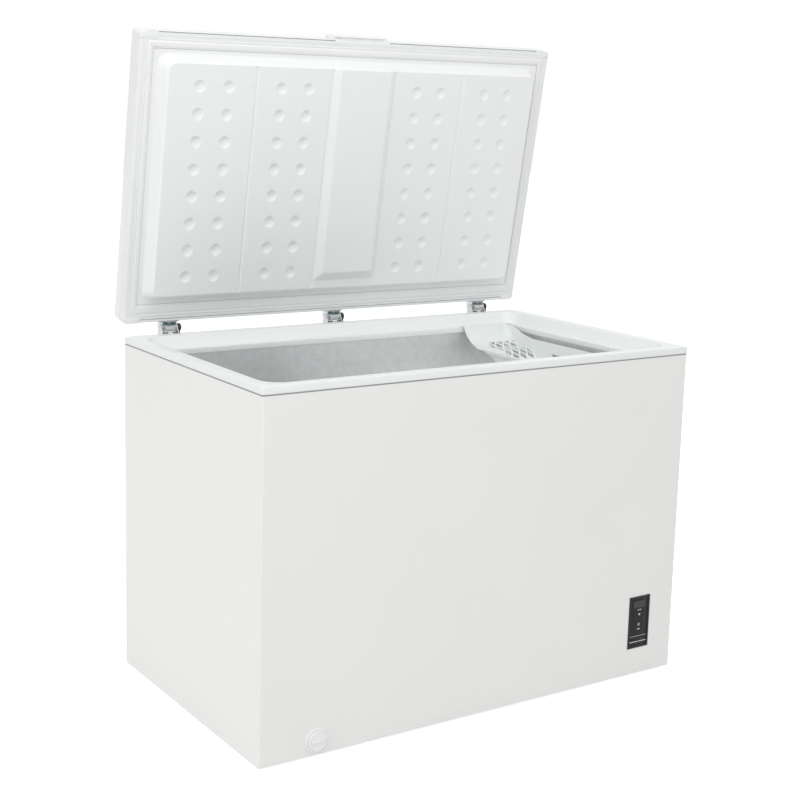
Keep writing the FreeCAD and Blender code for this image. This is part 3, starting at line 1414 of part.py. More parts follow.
def hinge_bracket():
    """The lid's half: a screwed plate, two tapered ears and a web that joins them under the lid's edge."""
    lid_y = -mm(f"{HINGE_Y} - {LID_Y}")
    gauge, gap, boss, reach = mm("ear_gauge"), mm("ear_gap"), mm("ear_boss"), mm("ear_reach")
    lid_z, drop = -mm(f"{HINGE_Z} - {LID_LOW}"), mm("web_drop")
    low, outside = lid_z - drop, gap + gauge
    side = ear(
        [(boss + mm("ear_back"), boss + mm("ear_rise")), (lid_y + gauge, low + reach), (lid_y + gauge, low)],
        -math.pi / 2, 0, boss, gap, outside,
    )
    side = side.cut(across_pin(0, 2 * gap, mm("pin_size + pin_fit + bush_wall"), BOSS_SIDES))
    half = gap + mm("plate_side")
    solid = box((-half, half), (lid_y, lid_y + gauge), (lid_z, low + reach + mm("plate_rise")))
    solid = solid.fuse(box((-outside, outside), (lid_y, lid_y + gauge), (low, lid_z)))
    half = mm("cam_half + cam_fit")
    web = box((-gap, gap), (lid_y, -mm("web_gap")), (low, low + gauge))
    web = web.cut(box((-half, half), (lid_y + mm("web_bar"), 0), (low - drop, low + 2 * gauge)))
    solid = solid.fuse(mirrored_pair(side) + [web])
    return solid.cut(across_pin(-2 * gap, 2 * gap, mm("rivet_size"), RIVET_SIDES, *rivet_place())).removeSplitter()


def rivet_place():
    return -mm("ear_boss"), mm("rivet_lift")


def cam_point(turned):
    """The cam's touching point, in the lid's own frame, once the lid has opened by an angle."""
    ratio = mm("cam_ratio")
    depth = mm("cam_open_depth") + ratio * (math.radians(mm("lid_opening")) - turned)
    y = -ratio * math.cos(turned) + depth * math.sin(turned)
    z = -ratio * math.sin(turned) - depth * math.cos(turned)
    return Vector(0, y, z)


def hinge_cam():
    """An involute flank that drives the plunger evenly with the lid, on a body riveted in the bracket."""
    opening = math.radians(mm("lid_opening"))
    turns = [opening * step / FLANK_STEPS for step in range(-1, FLANK_STEPS + 2)]
    flank = [(point.y, point.z) for point in map(cam_point, turns)]
    near_pin, boss, half = mm("cam_open_depth - cam_relief"), mm("ear_boss"), mm("cam_half")
    tail, shoulder = mm("cam_tail"), boss + mm("ear_rise")
    back = [(near_pin, 0), (near_pin * 0.8, near_pin), (-boss, shoulder), (-boss - tail, shoulder - tail / 2)]
    back.append((-boss - tail, 0))
    solid = slab(flank + back, -half, half)
    bore = across_pin(-2 * half, 2 * half, mm("pin_size + pin_fit"), PIN_SIDES)
    return solid.cut([bore, across_pin(-2 * half, 2 * half, mm("rivet_size"), RIVET_SIDES, *rivet_place())])


def hinge_rivet():
    """Holds the cam between the bracket's ears, with a flat head outside each."""
    outside, radius = mm("ear_gap + ear_gauge"), mm("rivet_size")
    shank = across_pin(-outside, outside, radius, RIVET_SIDES, *rivet_place())
    end = outside + mm("rivet_head_gauge")
    head = across_pin(outside, end, radius + mm("rivet_head"), RIVET_SIDES, *rivet_place())
    return shank.fuse(mirrored_pair(head))


def hinge_bush():
    """A flanged plastic bush in each ear of the bracket."""
    gap, outside, bore = mm("ear_gap"), mm("ear_gap + ear_gauge"), mm("pin_size + pin_fit")
    sleeve = across_pin(gap, outside, bore + mm("bush_wall"), BOSS_SIDES)
    flange = across_pin(outside, outside + mm("side_play - bush_play"), mm("ear_boss - bush_wall"), BOSS_SIDES)
    return mirrored_pair(sleeve.fuse(flange).cut(across_pin(0, 2 * gap, bore, PIN_SIDES)))


def hinge_pin():
    """The pivot pin, fixed in the housing's ears, with a head outside each."""
    outside, radius, head = mm(HOUSING_SIDE), mm("pin_size"), mm("pin_head")
    shank = across_pin(-outside, outside, radius, PIN_SIDES)
    return shank.fuse(mirrored_pair(across_pin(outside, outside + head, radius + head, BOSS_SIDES)))


def housing_corners():
    """The sheet's face, the face that clears the rim's band, that step's level and the foot's level."""
    sheet_y = -mm(f"{HINGE_Y} - {REAR_Y}")
    band_y = sheet_y + mm("sheet_gauge + rim_overhang + housing_clear")
    band_z = -mm(f"{HINGE_Z} - {WRAP_TOP} + housing_clear")
    return sheet_y, band_y, band_z, -mm("housing_length")


def hinge_housing():
    """The cabinet's half: a channel on the back sheet with a foot under the spring and screw wings."""
    sheet_y, band_y, band_z, foot = housing_corners()
    gauge, boss, outer = mm("housing_gauge"), mm("housing_boss"), mm(HOUSING_SIDE)
    shoulder = (band_y, -boss - mm("housing_shoulder"))
    side = ear(
        [shoulder, (band_y, band_z), (sheet_y, band_z), (sheet_y, foot), (boss, foot)],
        0, math.pi, boss, outer - gauge, outer,
    )
    side = side.cut(across_pin(0, 2 * outer, mm("pin_size"), PIN_SIDES))
    back = box((-outer, outer), (sheet_y, sheet_y + gauge), (foot, band_z))
    base = box((-outer, outer), (sheet_y, boss), (foot, foot + gauge))
    tip = outer + mm("housing_wing")
    wings = box((-tip, tip), (sheet_y, sheet_y + gauge), wing_span())
    return back.fuse([base, wings] + mirrored_pair(side)).removeSplitter()


def wing_span():
    _, _, band_z, foot = housing_corners()
    return foot + mm("wing_above_foot"), band_z - mm("wing_below_band")


def hinge_screw_heads():
    face, inset = housing_corners()[0] + mm("housing_gauge"), mm("wing_screw_inset")
    x, (low, high) = mm(f"{HOUSING_SIDE} + housing_wing / 2"), wing_span()
    return [screw_head(Vector(side * x, face, z), mm("screw_head"), mm("screw_rise"))
            for side in (-1, 1) for z in (low + inset, high - inset)]


def bracket_screw_heads():
    face = -mm(f"{HINGE_Y} - {LID_Y} - ear_gauge")
    low = mm(f"{LID_LOW} - {HINGE_Z} + bracket_screw_low")
    return [screw_head(Vector(side * mm("ear_gap / 2"), face, z), mm("bracket_screw"), mm("bracket_screw_rise"))
            for side in (-1, 1) for z in (low, low + mm("bracket_screw_pitch"))]


def plunger_top():
    return -mm("cam_open_depth + plunger_play")


def hinge_plunger():
    """The flat-topped slider that the spring holds up against the cam."""
    half, top, bevel = mm("plunger_half"), plunger_top(), mm("plunger_bevel")
    front, back = housing_corners()[1] + mm("plunger_fit"), mm("housing_boss - plunger_back_fit")
    solid = box((-half, half), (front, back), (top - mm("plunger_height"), top))
    solid = solid.makeChamfer(bevel, [edge for edge in solid.Edges if edge.BoundBox.ZLength > half / 2])
    half, depth = mm("plunger_line") / 2, mm("plunger_line_depth")
    line = box((-half, half), (front - depth, front + depth), (top - mm("plunger_line_length"), top + depth))
    return solid.cut(line)


def hinge_spring():
    """A coil of square wire from the housing's foot to the plunger, bent in short straight runs."""
    sheet_y, _, _, foot = housing_corners()
    low = foot + mm("housing_gauge")
    high = plunger_top() - mm("plunger_height")
    steps, radius, half = int(mm("spring_turns")) * SPRING_SIDES, mm("spring_size"), mm("spring_wire") / 2
    middle_y = (sheet_y + mm("housing_gauge") + mm("housing_boss")) / 2
    rings = []
    for step in range(steps + 1):
        angle = 2 * math.pi * step / SPRING_SIDES
        z = low + half + (high - low - 2 * half) * step / steps
        section = [(radius - half, -half), (radius + half, -half), (radius + half, half), (radius - half, half)]
        rings.append([Vector(reach * math.cos(angle), middle_y + reach * math.sin(angle), z + lift)
                      for reach, lift in section])
    return flat_sided(rings, split=True)


def hinge_cap():
    """The black C-shaped clip over the right end of the pin."""
    start, boss, wall = mm(f"{HOUSING_SIDE} + pin_head"), mm("housing_boss"), mm("clip_wall")
    end, half = start + mm("clip_length"), mm("clip_slot") / 2
    hollow = across_pin(start + wall, end + wall, mm("pin_size + clip_fit"), BOSS_SIDES)
    notch = box((start + wall, end + wall), (0, 2 * boss), (-half, half))
    return across_pin(start, end, boss, BOSS_SIDES).cut([hollow, notch])


def grouped(label, make):
    solids = []
    for place in PLACES.values():
        made = make()
        solids += [at_hinge(shape, place) for shape in (made if isinstance(made, list) else [made])]
    return piece(label, solids)


def single(label, make):
    return [piece(f"{label}_{name}", at_hinge(make(), place)) for name, place in PLACES.items()]


# ---------------------------------------------------------------- assembly
cabinet = [
    cabinet_wrap(), rear_panel(), base_pan(), insulation(), inner_liner(), top_frame(), evaporator_coil(),
    condenser_coil(), levelling_feet(), compressor_tray(), compressor(), compressor_mounts(),
    compressor_bolts(), relay_cover(), filter_drier(), suction_pipe(), discharge_pipe(), rear_cover(), cover_screws(),
    side_grille(), cable_inlet(), control_fascia(), control_overlay(), control_board(), control_housing(),
    drain_outlet(), drain_spout(), drain_knob(), drain_hose(), drain_fitting(), drain_plug(), basket(),
]
cabinet += [push_key(label, place) for label, place in zip(("set_key", "mode_key"), key_places())]
cabinet += single("hinge_housing", hinge_housing) + single("hinge_plunger", hinge_plunger)
cabinet += [
    grouped("hinge_pins", hinge_pin), grouped("hinge_springs", hinge_spring), grouped("hinge_caps", hinge_cap),
    grouped("hinge_screws", hinge_screw_heads),
]
lid = [lid_skin(), lid_frame(), lid_gasket(), lid_liner(), lid_foam(), lid_corner_caps(), lid_plugs(), lid_handle()]
lid += single("hinge_bracket", hinge_bracket)
lid += [
    grouped("hinge_cams", hinge_cam), grouped("hinge_rivets", hinge_rivet), grouped("hinge_bushes", hinge_bush),
    grouped("lid_hinge_screws", bracket_screw_heads),
]
doc.recompute()

# the open lid, and then the origin under the middle of the whole
pivot = Vector(0, mm(HINGE_Y), mm(HINGE_Z))
opened = Placement(Vector(0, 0, 0), Rotation(Vector(-1, 0, 0), mm("lid_opening")), pivot)
for part in lid:
    part.Placement = opened.multiply(part.Placement)
doc.recompute()
whole = FreeCAD.BoundBox()
for part in cabinet + lid:
    whole.add(part.Shape.optimalBoundingBox(False))
shift = Vector(-whole.Center.x, -whole.Center.y, 0)
for part in cabinet + lid:
    part.Placement = Placement(shift, Rotation()).multiply(part.Placement)
doc.recompute()

for thing in doc.Objects:
    if "Invalid" in thing.State or "Error" in thing.State:
        raise RuntimeError(f"{thing.Label} did not compute: {thing.State}")
for part in cabinet + lid:
    if part.Shape.isNull() or not part.Shape.isValid() or not part.Shape.Solids:
        raise RuntimeError(f"{part.Label} has no valid solid")

os.makedirs("parts", exist_ok=True)
for part in cabinet + lid:
    part.Shape.exportStep(f"parts/{part.Label}.step")
print(f"origin moved by {shift.x:.3f}, {shift.y:.3f}; box {whole}")
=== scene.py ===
import json
import math

import bmesh
import bpy
from mathutils import Matrix, Vector


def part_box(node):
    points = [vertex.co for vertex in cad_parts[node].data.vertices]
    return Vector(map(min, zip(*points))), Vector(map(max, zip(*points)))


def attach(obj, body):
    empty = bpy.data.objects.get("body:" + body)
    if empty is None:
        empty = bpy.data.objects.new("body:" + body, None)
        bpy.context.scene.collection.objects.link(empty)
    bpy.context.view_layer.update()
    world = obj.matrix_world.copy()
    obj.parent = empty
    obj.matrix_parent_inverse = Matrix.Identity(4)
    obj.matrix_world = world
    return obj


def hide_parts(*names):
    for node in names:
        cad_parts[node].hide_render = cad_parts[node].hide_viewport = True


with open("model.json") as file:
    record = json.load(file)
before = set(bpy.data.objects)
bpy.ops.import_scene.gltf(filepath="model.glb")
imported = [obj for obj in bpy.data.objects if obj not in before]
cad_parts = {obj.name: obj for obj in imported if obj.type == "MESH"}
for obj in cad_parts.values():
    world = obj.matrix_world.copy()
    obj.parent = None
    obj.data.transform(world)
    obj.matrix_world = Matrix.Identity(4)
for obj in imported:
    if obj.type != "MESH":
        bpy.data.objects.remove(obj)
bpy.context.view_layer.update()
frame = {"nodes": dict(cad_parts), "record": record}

# Dresses the chest freezer: finer pieces where the solids are plain, and a material for every surface.
# Lengths are metres in the part's frame, apart from those that a comment or docstring gives in millimetres.
# Pieces of the lid are drawn with the lid shut and then turned open.

MM = 0.001
joints = {joint["name"]: joint for joint in frame["record"]["behaviour"]["joints"]}
HINGE = Vector(joints["lid_hinge"]["pos_m"])
OPEN_ANGLE = -math.radians(joints["lid_hinge"]["range_deg"][0])
OPENED = Matrix.Translation(HINGE) @ Matrix.Rotation(-OPEN_ANGLE, 4, "X") @ Matrix.Translation(-HINGE)


def closed_box(node):
    """The lowest and highest corner of a lid node with the lid shut."""
    points = [OPENED.inverted() @ vertex.co for vertex in frame["nodes"][node].data.vertices]
    return (Vector([min(point[axis] for point in points) for axis in range(3)]),
            Vector([max(point[axis] for point in points) for axis in range(3)]))


# ---------------------------------------------------------------- materials
def new_material(name, colour, roughness, metallic=0.0, **inputs):
    """A plain material, whose other shader inputs are set by name."""
    material = bpy.data.materials.new(name)
    material.use_nodes = True
    shader = material.node_tree.nodes["Principled BSDF"]
    shader.inputs["Base Color"].default_value = (*colour, 1)
    shader.inputs["Roughness"].default_value = roughness
    shader.inputs["Metallic"].default_value = metallic
    for socket, value in inputs.items():
        shader.inputs[socket.replace("_", " ")].default_value = value
    return material


def add_node(owner, kind, **values):
    """A node of a material or world, whose attributes or input sockets are set by name."""
    node = owner.node_tree.nodes.new(kind)
    for name, value in values.items():
        if hasattr(node, name):
            setattr(node, name, value)
        else:
            node.inputs[name.replace("_", " ")].default_value = value
    return node


def link(owner, source, target):
    owner.node_tree.links.new(source, target)


def placed(material, stretch=(1, 1, 1)):
    """Object coordinates, which move with the piece, stretched along the axes."""
    coordinates = add_node(material, "ShaderNodeTexCoord")
    mapping = add_node(material, "ShaderNodeMapping", Scale=stretch)
    link(material, coordinates.outputs["Object"], mapping.inputs["Vector"])
    return mapping.outputs["Vector"]


def noise(material, scale, detail=3.0, stretch=(1, 1, 1)):
    """A cloudy field from 0 to 1."""
    texture = add_node(material, "ShaderNodeTexNoise", Scale=scale, Detail=detail)
    link(material, placed(material, stretch), texture.inputs["Vector"])
    return texture.outputs["Fac"]


def crystals(material, scale):
    """A pattern of cells."""
    texture = add_node(material, "ShaderNodeTexVoronoi", Scale=scale)
    link(material, placed(material), texture.inputs["Vector"])
    return texture


def vary(material, field, socket, low, high):
    """Carries a socket between two numbers, or two colours, by the middle part of a field from 0 to 1."""
    shader = material.node_tree.nodes["Principled BSDF"]
    ramp = add_node(material, "ShaderNodeValToRGB")
    link(material, field, ramp.inputs["Fac"])
    ends = [(*value, 1) if isinstance(value, tuple) else (value, value, value, 1) for value in (low, high)]
    for element, position, colour in zip(ramp.color_ramp.elements, (0.2, 0.8), ends):
        element.position = position
        element.color = colour
    link(material, ramp.outputs["Color"], shader.inputs[socket])


def vary_tone(material, field, colour, darkest):
    """Lets the tone drift, from a share of the colour up to all of it."""
    vary(material, field, "Base Color", tuple(channel * darkest for channel in colour), colour)


def vary_gloss(material, field, roughness, least, most):
    """Lets the gloss drift, between two shares of the roughness."""
    vary(material, field, "Roughness", roughness * least, roughness * most)


def emboss(material, field, depth, strength=1.0):
    """Raises the surface by the field; bumps put one on another add up."""
    shader = material.node_tree.nodes["Principled BSDF"]
    bump = add_node(material, "ShaderNodeBump", Distance=depth, Strength=strength)
    link(material, field, bump.inputs["Height"])
    if shader.inputs["Normal"].is_linked:
        link(material, shader.inputs["Normal"].links[0].from_socket, bump.inputs["Normal"])
    link(material, bump.outputs["Normal"], shader.inputs["Normal"])


def moulded(name, colour, roughness, grain=900, depth=0.00002, **inputs):
    """Plastic: a fine grain, and tone and gloss that drift a little over the piece."""
    material = new_material(name, colour, roughness, **inputs)
    vary_tone(material, noise(material, scale=5), colour, darkest=0.985)
    vary_gloss(material, noise(material, scale=9), roughness, least=0.94, most=1.06)
    emboss(material, noise(material, scale=grain), depth, strength=0.6)
    return material


def painted(name, colour, roughness=0.22):
    """Coil-coated sheet: orange peel under a clear gloss, and very slight waves in the panel."""
    material = new_material(name, colour, roughness, Coat_Weight=0.35, Coat_Roughness=0.08)
    vary_tone(material, noise(material, scale=4), colour, darkest=0.975)
    vary_gloss(material, noise(material, scale=40), roughness, least=0.85, most=1.2)
    emboss(material, noise(material, scale=3, detail=1), depth=0.0006, strength=0.25)
    emboss(material, noise(material, scale=700), depth=0.00002)
    return material


def metal(name, colour, roughness, stretch=(1, 1, 1)):
    """Drawn or rolled metal, with a grain that may be stretched along an axis."""
    material = new_material(name, colour, roughness, metallic=1.0)
    vary_tone(material, noise(material, scale=30), colour, darkest=0.85)
    grain = noise(material, scale=300, detail=4, stretch=stretch)
    vary_gloss(material, grain, roughness, least=0.75, most=1.25)
    emboss(material, grain, depth=0.00002)
    return material


def spangled(name, colour, roughness):
    """Hot-dip galvanised sheet, with its crystal pattern."""
    material = new_material(name, colour, roughness, metallic=1.0)
    field = crystals(material, scale=90).outputs["Color"]
    vary_tone(material, field, colour, darkest=0.8)
    vary_gloss(material, field, roughness, least=0.75, most=1.25)
    return material


def stucco(name, colour, roughness):
    """Aluminium sheet rolled with the leathery pattern of freezer linings."""
    material = new_material(name, colour, roughness, metallic=0.97)
    cells = add_node(material, "ShaderNodeTexVoronoi", feature="SMOOTH_F1", Scale=300, Smoothness=0.8)
    warped = add_node(material, "ShaderNodeTexNoise", Scale=120, Detail=2)
    link(material, placed(material), warped.inputs["Vector"])
    mixed = add_node(material, "ShaderNodeMixRGB", blend_type="LINEAR_LIGHT", Fac=0.02)
    link(material, placed(material), mixed.inputs["Color1"])
    link(material, warped.outputs["Color"], mixed.inputs["Color2"])
    link(material, mixed.outputs["Color"], cells.inputs["Vector"])
    vary_tone(material, noise(material, scale=60), colour, darkest=0.88)
    vary_gloss(material, noise(material, scale=200), roughness, least=0.8, most=1.2)
    emboss(material, cells.outputs["Distance"], depth=0.0009, strength=0.6)
    return material


def foamed(name, colour):
    """Rigid foam, with its open cells."""
    material = new_material(name, colour, roughness=0.9)
    vary_tone(material, noise(material, scale=60), colour, darkest=0.8)
    emboss(material, crystals(material, scale=700).outputs["Distance"], depth=0.0004)
    return material


WHITE = (0.86, 0.87, 0.865)
slot_materials = {
    "cabinet_paint": painted("cabinet_paint", (0.83, 0.835, 0.818)),
    "lid_paint": painted("lid_paint", (0.83, 0.835, 0.825)),
    "galvanised_steel": spangled("galvanised_steel", (0.62, 0.63, 0.64), 0.38),
    "insulation_foam": foamed("insulation_foam", (0.80, 0.70, 0.46)),
    "embossed_aluminium": stucco("embossed_aluminium", (0.80, 0.82, 0.82), 0.42),
    "rim_plastic": moulded("rim_plastic", (0.84, 0.865, 0.86), 0.32),
    "lid_inner_plastic": moulded("lid_inner_plastic", (0.87, 0.885, 0.875), 0.34, grain=160, depth=0.00001),
    "seal_rubber": moulded("seal_rubber", (0.84, 0.85, 0.84), 0.45),
    "handle_plastic": moulded("handle_plastic", WHITE, 0.3),
    "drain_plastic": moulded("drain_plastic", WHITE, 0.35),
    "spout_plastic": moulded("spout_plastic", WHITE, 0.35),
    "basket_plastic": moulded("basket_plastic", (0.80, 0.83, 0.825), 0.3,
                              Subsurface_Weight=0.15, Subsurface_Scale=0.004),
    "hinge_steel": metal("hinge_steel", (0.74, 0.75, 0.77), 0.3, stretch=(1, 6, 1)),
    "hinge_housing_paint": painted("hinge_housing_paint", (0.80, 0.81, 0.81), 0.35),
    "hinge_black_plastic": moulded("hinge_black_plastic", (0.02, 0.02, 0.021), 0.4),
    "slider_plastic": moulded("slider_plastic", (0.86, 0.86, 0.84), 0.35),
    "cam_steel": metal("cam_steel", (0.80, 0.81, 0.81), 0.45),
    "spring_steel": metal("spring_steel", (0.32, 0.32, 0.33), 0.35),
    "screw_steel": metal("screw_steel", (0.60, 0.61, 0.62), 0.3),
    "black_plastic": moulded("black_plastic", (0.012, 0.012, 0.013), 0.4, grain=1400, depth=0.00003,
                             Specular_IOR_Level=0.3),
    "panel_overlay": moulded("panel_overlay", (0.02, 0.02, 0.021), 0.4, Specular_IOR_Level=0.15),
    "key_plastic": moulded("key_plastic", (0.025, 0.025, 0.027), 0.4, Specular_IOR_Level=0.2),
    "housing_plastic": moulded("housing_plastic", (0.55, 0.56, 0.55), 0.5),
    "circuit_board": moulded("circuit_board", (0.04, 0.20, 0.10), 0.4),
    "black_enamel": painted("black_enamel", (0.015, 0.015, 0.017), 0.3),
    "mount_rubber": moulded("mount_rubber", (0.02, 0.02, 0.02), 0.6),
    "hose_rubber": moulded("hose_rubber", (0.2, 0.2, 0.2), 0.6),
    "copper_tube": metal("copper_tube", (0.78, 0.42, 0.26), 0.28),
    "coil_aluminium": metal("coil_aluminium", (0.72, 0.73, 0.74), 0.35),
    "coil_steel": metal("coil_steel", (0.38, 0.39, 0.40), 0.35),
    "foot_plastic": moulded("foot_plastic", (0.04, 0.04, 0.04), 0.5),
}

# Finishes that the record has no slot for, each with the slot that it goes under.
own_materials = {
    # Dark grey for strips of painted shade and reflection: the shadow under the rim, and the dark lines along
    # the lid's edges.
    "painted_shade_strip": ("black_plastic", moulded("painted_shade_strip", (0.30, 0.31, 0.31), 0.5)),
    # A dark copy of the hinge steel: painted dark reflection on the bracket's web and hood.
    "hinge_web_painted_dark": ("cam_steel", metal("hinge_web_painted_dark", (0.22, 0.29, 0.31), 0.25)),
    "panel_print": ("panel_overlay", moulded("panel_print", (0.66, 0.66, 0.66), 0.5)),
    # Grey for the painted shade between the seal and the lid's formed sheet.
    "seam_shade": ("seal_rubber", moulded("seam_shade", (0.44, 0.45, 0.45), 0.6)),
    "panel_window": ("panel_overlay", moulded("panel_window", (0.008, 0.008, 0.009), 0.12)),
}


# ---------------------------------------------------------------- finish of the solids
EASED_EDGE, BASKET_EDGE = 0.35 * MM, 0.8 * MM
EASED_FROM, SMOOTH_BELOW = 50, 32  # degrees between faces
WELD_GAP = 1e-5
SQUARE_EDGED = (
    "cabinet_wrap", "rear_panel", "base_pan", "compressor_tray", "inner_liner", "lid_skin", "cabinet_foam",
    "lid_foam", "evaporator_coil", "condenser_coil",
)


def smoothing(angle):
    """Geometry nodes that shade a mesh smooth, apart from the edges sharper than an angle."""
    group = bpy.data.node_groups.new("smoothing", "GeometryNodeTree")
    for way in ("INPUT", "OUTPUT"):
        group.interface.new_socket("Geometry", in_out=way, socket_type="NodeSocketGeometry")
    entry, leave = group.nodes.new("NodeGroupInput"), group.nodes.new("NodeGroupOutput")
    faces, edges = (group.nodes.new("GeometryNodeSetShadeSmooth") for _ in range(2))
    faces.domain, edges.domain = "FACE", "EDGE"
    bend = group.nodes.new("GeometryNodeInputMeshEdgeAngle")
    sharp = group.nodes.new("FunctionNodeCompare")
    sharp.operation = "GREATER_THAN"
    sharp.inputs[1].default_value = math.radians(angle)
    edges.inputs["Shade Smooth"].default_value = False
    wires = (
        (entry.outputs[0], faces.inputs[0]),
        (faces.outputs[0], edges.inputs[0]),
        (bend.outputs["Unsigned Angle"], sharp.inputs[0]),
        (sharp.outputs[0], edges.inputs["Selection"]),
        (edges.outputs[0], leave.inputs[0]),
    )
    for source, target in wires:
        group.links.new(source, target)
    return group


def finish_solids():
    """Gives every solid its material, eased edges and smooth curves."""
    shaded = smoothing(SMOOTH_BELOW)
    for subpart in frame["record"]["subparts"]:
        node = subpart["node"]
        solid = frame["nodes"][node]
        solid.data.materials.clear()
        solid.data.materials.append(slot_materials[subpart["material_slot"]])
        weld = solid.modifiers.new("weld", "WELD")
        weld.merge_threshold = WELD_GAP
        if node not in SQUARE_EDGED:
            bevel = solid.modifiers.new("eased", "BEVEL")
            bevel.width = BASKET_EDGE if node == "basket" else EASED_EDGE
            bevel.segments = 2
            bevel.limit_method = "ANGLE"
            bevel.angle_limit = math.radians(EASED_FROM)
        solid.modifiers.new("smooth", "NODES").node_group = shaded


finish_solids()


# ---------------------------------------------------------------- mesh helpers
def add_piece(name, points, faces, finish, body, smooth=35, turned=None, replaced=(), sheet=False):
    """A mesh piece with its material and body; a matrix may turn it, and a sheet keeps its side."""
    slot, material = own_materials.get(finish) or (finish, slot_materials[finish])
    mesh = bpy.data.meshes.new(name)
    if turned:
        points = [turned @ Vector(point) for point in points]
    mesh.from_pydata([tuple(point) for point in points], [], faces)
    mesh.validate()
    mesh.materials.append(material)
    shape = bmesh.new()
    shape.from_mesh(mesh)
    if not sheet:
        bmesh.ops.recalc_face_normals(shape, faces=shape.faces)
    for edge in shape.edges:
        edge.smooth = len(edge.link_faces) == 2 and edge.calc_face_angle(0) < math.radians(smooth)
    for face in shape.faces:
        face.smooth = True
    shape.to_mesh(mesh)
    shape.free()
    piece = bpy.data.objects.new(name, mesh)
    bpy.context.scene.collection.objects.link(piece)
    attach(piece, body)
    if replaced:
        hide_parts(*replaced)
    return piece


def thicken(piece, thickness):
    """Gives a sheet its thickness, behind its faces."""
    wall = piece.modifiers.new("thickness", "SOLIDIFY")
    wall.thickness = thickness
    wall.offset = -1


def ease(t):
    """A step from 0 to 1 that starts and ends gently."""
    t = min(max(t, 0), 1)
    return t * t * (3 - 2 * t)


def level_at(line, place):
    """The height of a line of (place, height) pairs at a place, level before its start and after its end."""
    for (start, low), (end, high) in zip(line, line[1:]):
        if start <= place <= end:
            return low + (high - low) * (place - start) / (end - start)
    return line[0][1] if place < line[0][0] else line[-1][1]


def eased(corners, radius, steps=3):
    """Rounds the corners of a closed outline of (a, b) pairs."""
    outline = []
    for index, corner in enumerate(corners):
        here = Vector(corner)
        before = Vector(corners[index - 1]) - here
        after = Vector(corners[(index + 1) % len(corners)]) - here
        reach = min(radius, before.length * 0.45, after.length * 0.45)
        start, end = here + before.normalized() * reach, here + after.normalized() * reach
        for step in range(steps + 1):
            t = step / steps
            outline.append(start * (1 - t) ** 2 + here * 2 * t * (1 - t) + end * t ** 2)
    return outline


def rounded_ring(centre, half_x, half_y, radius, level, steps=10):
    """Points round a rectangle with round corners, the same count whatever the radius."""
    points = []
    for quarter in range(4):
        sign_x = 1 if quarter in (0, 3) else -1
        sign_y = 1 if quarter < 2 else -1
        for step in range(steps + 1):
            angle = math.pi / 2 * (quarter + step / steps)
            points.append((centre[0] + sign_x * (half_x - radius) + radius * math.cos(angle),
                           centre[1] + sign_y * (half_y - radius) + radius * math.sin(angle), level))
    return points


def box_rings(low, high, profile):
    """Rings of a profile of (inset, level, corner radius) carried round a box."""
    centre = (low + high) / 2
    half_x, half_y = (high.x - low.x) / 2, (high.y - low.y) / 2
    return [rounded_ring(centre, half_x - inset, half_y - inset, max(radius, 0.2 * MM), level)
            for inset, level, radius in profile]


def turned_rings(origin, axis, profile, sides):
    """Rings of a profile of (along, radius) in millimetres, turned about an axis through the origin."""
    basis = Vector(axis).normalized().to_track_quat("Z", "Y").to_matrix()
    turns = [2 * math.pi * side / sides for side in range(sides)]
    return [[Vector(origin) + basis @ Vector((radius * math.cos(turn), radius * math.sin(turn), along)) * MM
             for turn in turns] for along, radius in profile]


def joined(rings, closed=True):
    """Points and faces of rings, each joined to the next and, where closed, the last to the first."""
    points = [point for ring in rings for point in ring]
    count, rows = len(rings[0]), len(rings)
    faces = [(row * count + index, row * count + (index + 1) % count,
              (row + 1) % rows * count + (index + 1) % count, (row + 1) % rows * count + index)
             for row in range(rows if closed else rows - 1) for index in range(count)]
    return points, faces


def capped(rings):
    """Points and faces of rings joined one to the next, with a face over the first and the last."""
    points, faces = joined(rings, closed=False)
    count = len(rings[0])
    faces += [tuple(range(count)), tuple(range(len(points) - count, len(points)))]
    return points, faces


def grid_faces(columns, rows):
    """Faces of a grid of points that runs along its columns first."""
    return [(row * columns + column, (row + 1) * columns + column,
             (row + 1) * columns + column + 1, row * columns + column + 1)
            for row in range(rows - 1) for column in range(columns - 1)]


def strip(name, corners, finish, body, turned=None, easing=0.2 * MM):
    """A straight block between two corners, with eased edges."""
    low, high = corners
    cut = min([easing] + [abs(end - start) * 0.3 for start, end in zip(low, high)])
    shape = bmesh.new()
    bmesh.ops.create_cube(shape, size=1)
    for vertex in shape.verts:
        vertex.co = Vector([start + (end - start) * (place + 0.5)
                            for start, end, place in zip(low, high, vertex.co)])
    bmesh.ops.bevel(shape, geom=shape.edges[:], offset=cut, segments=2, profile=0.6, affect="EDGES")
    points = [vertex.co.copy() for vertex in shape.verts]
    shape.verts.index_update()
    faces = [tuple(vertex.index for vertex in face.verts) for face in shape.faces]
    shape.free()
    add_piece(name, points, faces, finish, body, smooth=30, turned=turned)


# ---------------------------------------------------------------- rim of the cabinet
def rim():
    """The moulded top frame: a flat land, a wall that slopes down to the ledge, and the skirt."""
    low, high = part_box("top_frame")
    land, slope, drop, wall = 29 * MM, 11 * MM, 27.2 * MM, 3 * MM
    side, overhang, easing = 16 * MM, 3 * MM, 1.6 * MM
    outer_corner, land_corner, tightening = 4, 46, 0.9
    mouth = (high.x - low.x) / 2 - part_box("inner_liner")[1].x + overhang
    ledge = high.z - drop
    corners = [
        (0, high.z - side), (0, high.z), (land, high.z), (land + slope, ledge), (mouth, ledge),
        (mouth, low.z), (land + wall, low.z), (land + wall, high.z - side),
    ]
    profile = []
    for inset, level in eased(corners, easing):
        corner = outer_corner + (land_corner - outer_corner) * min(inset / land, 1)
        profile.append((inset, level, corner * MM - max(inset - land, 0) * tightening))
    points, faces = joined(box_rings(low, high, profile))
    add_piece("rim", points, faces, "rim_plastic", "cabinet", replaced=("top_frame",))


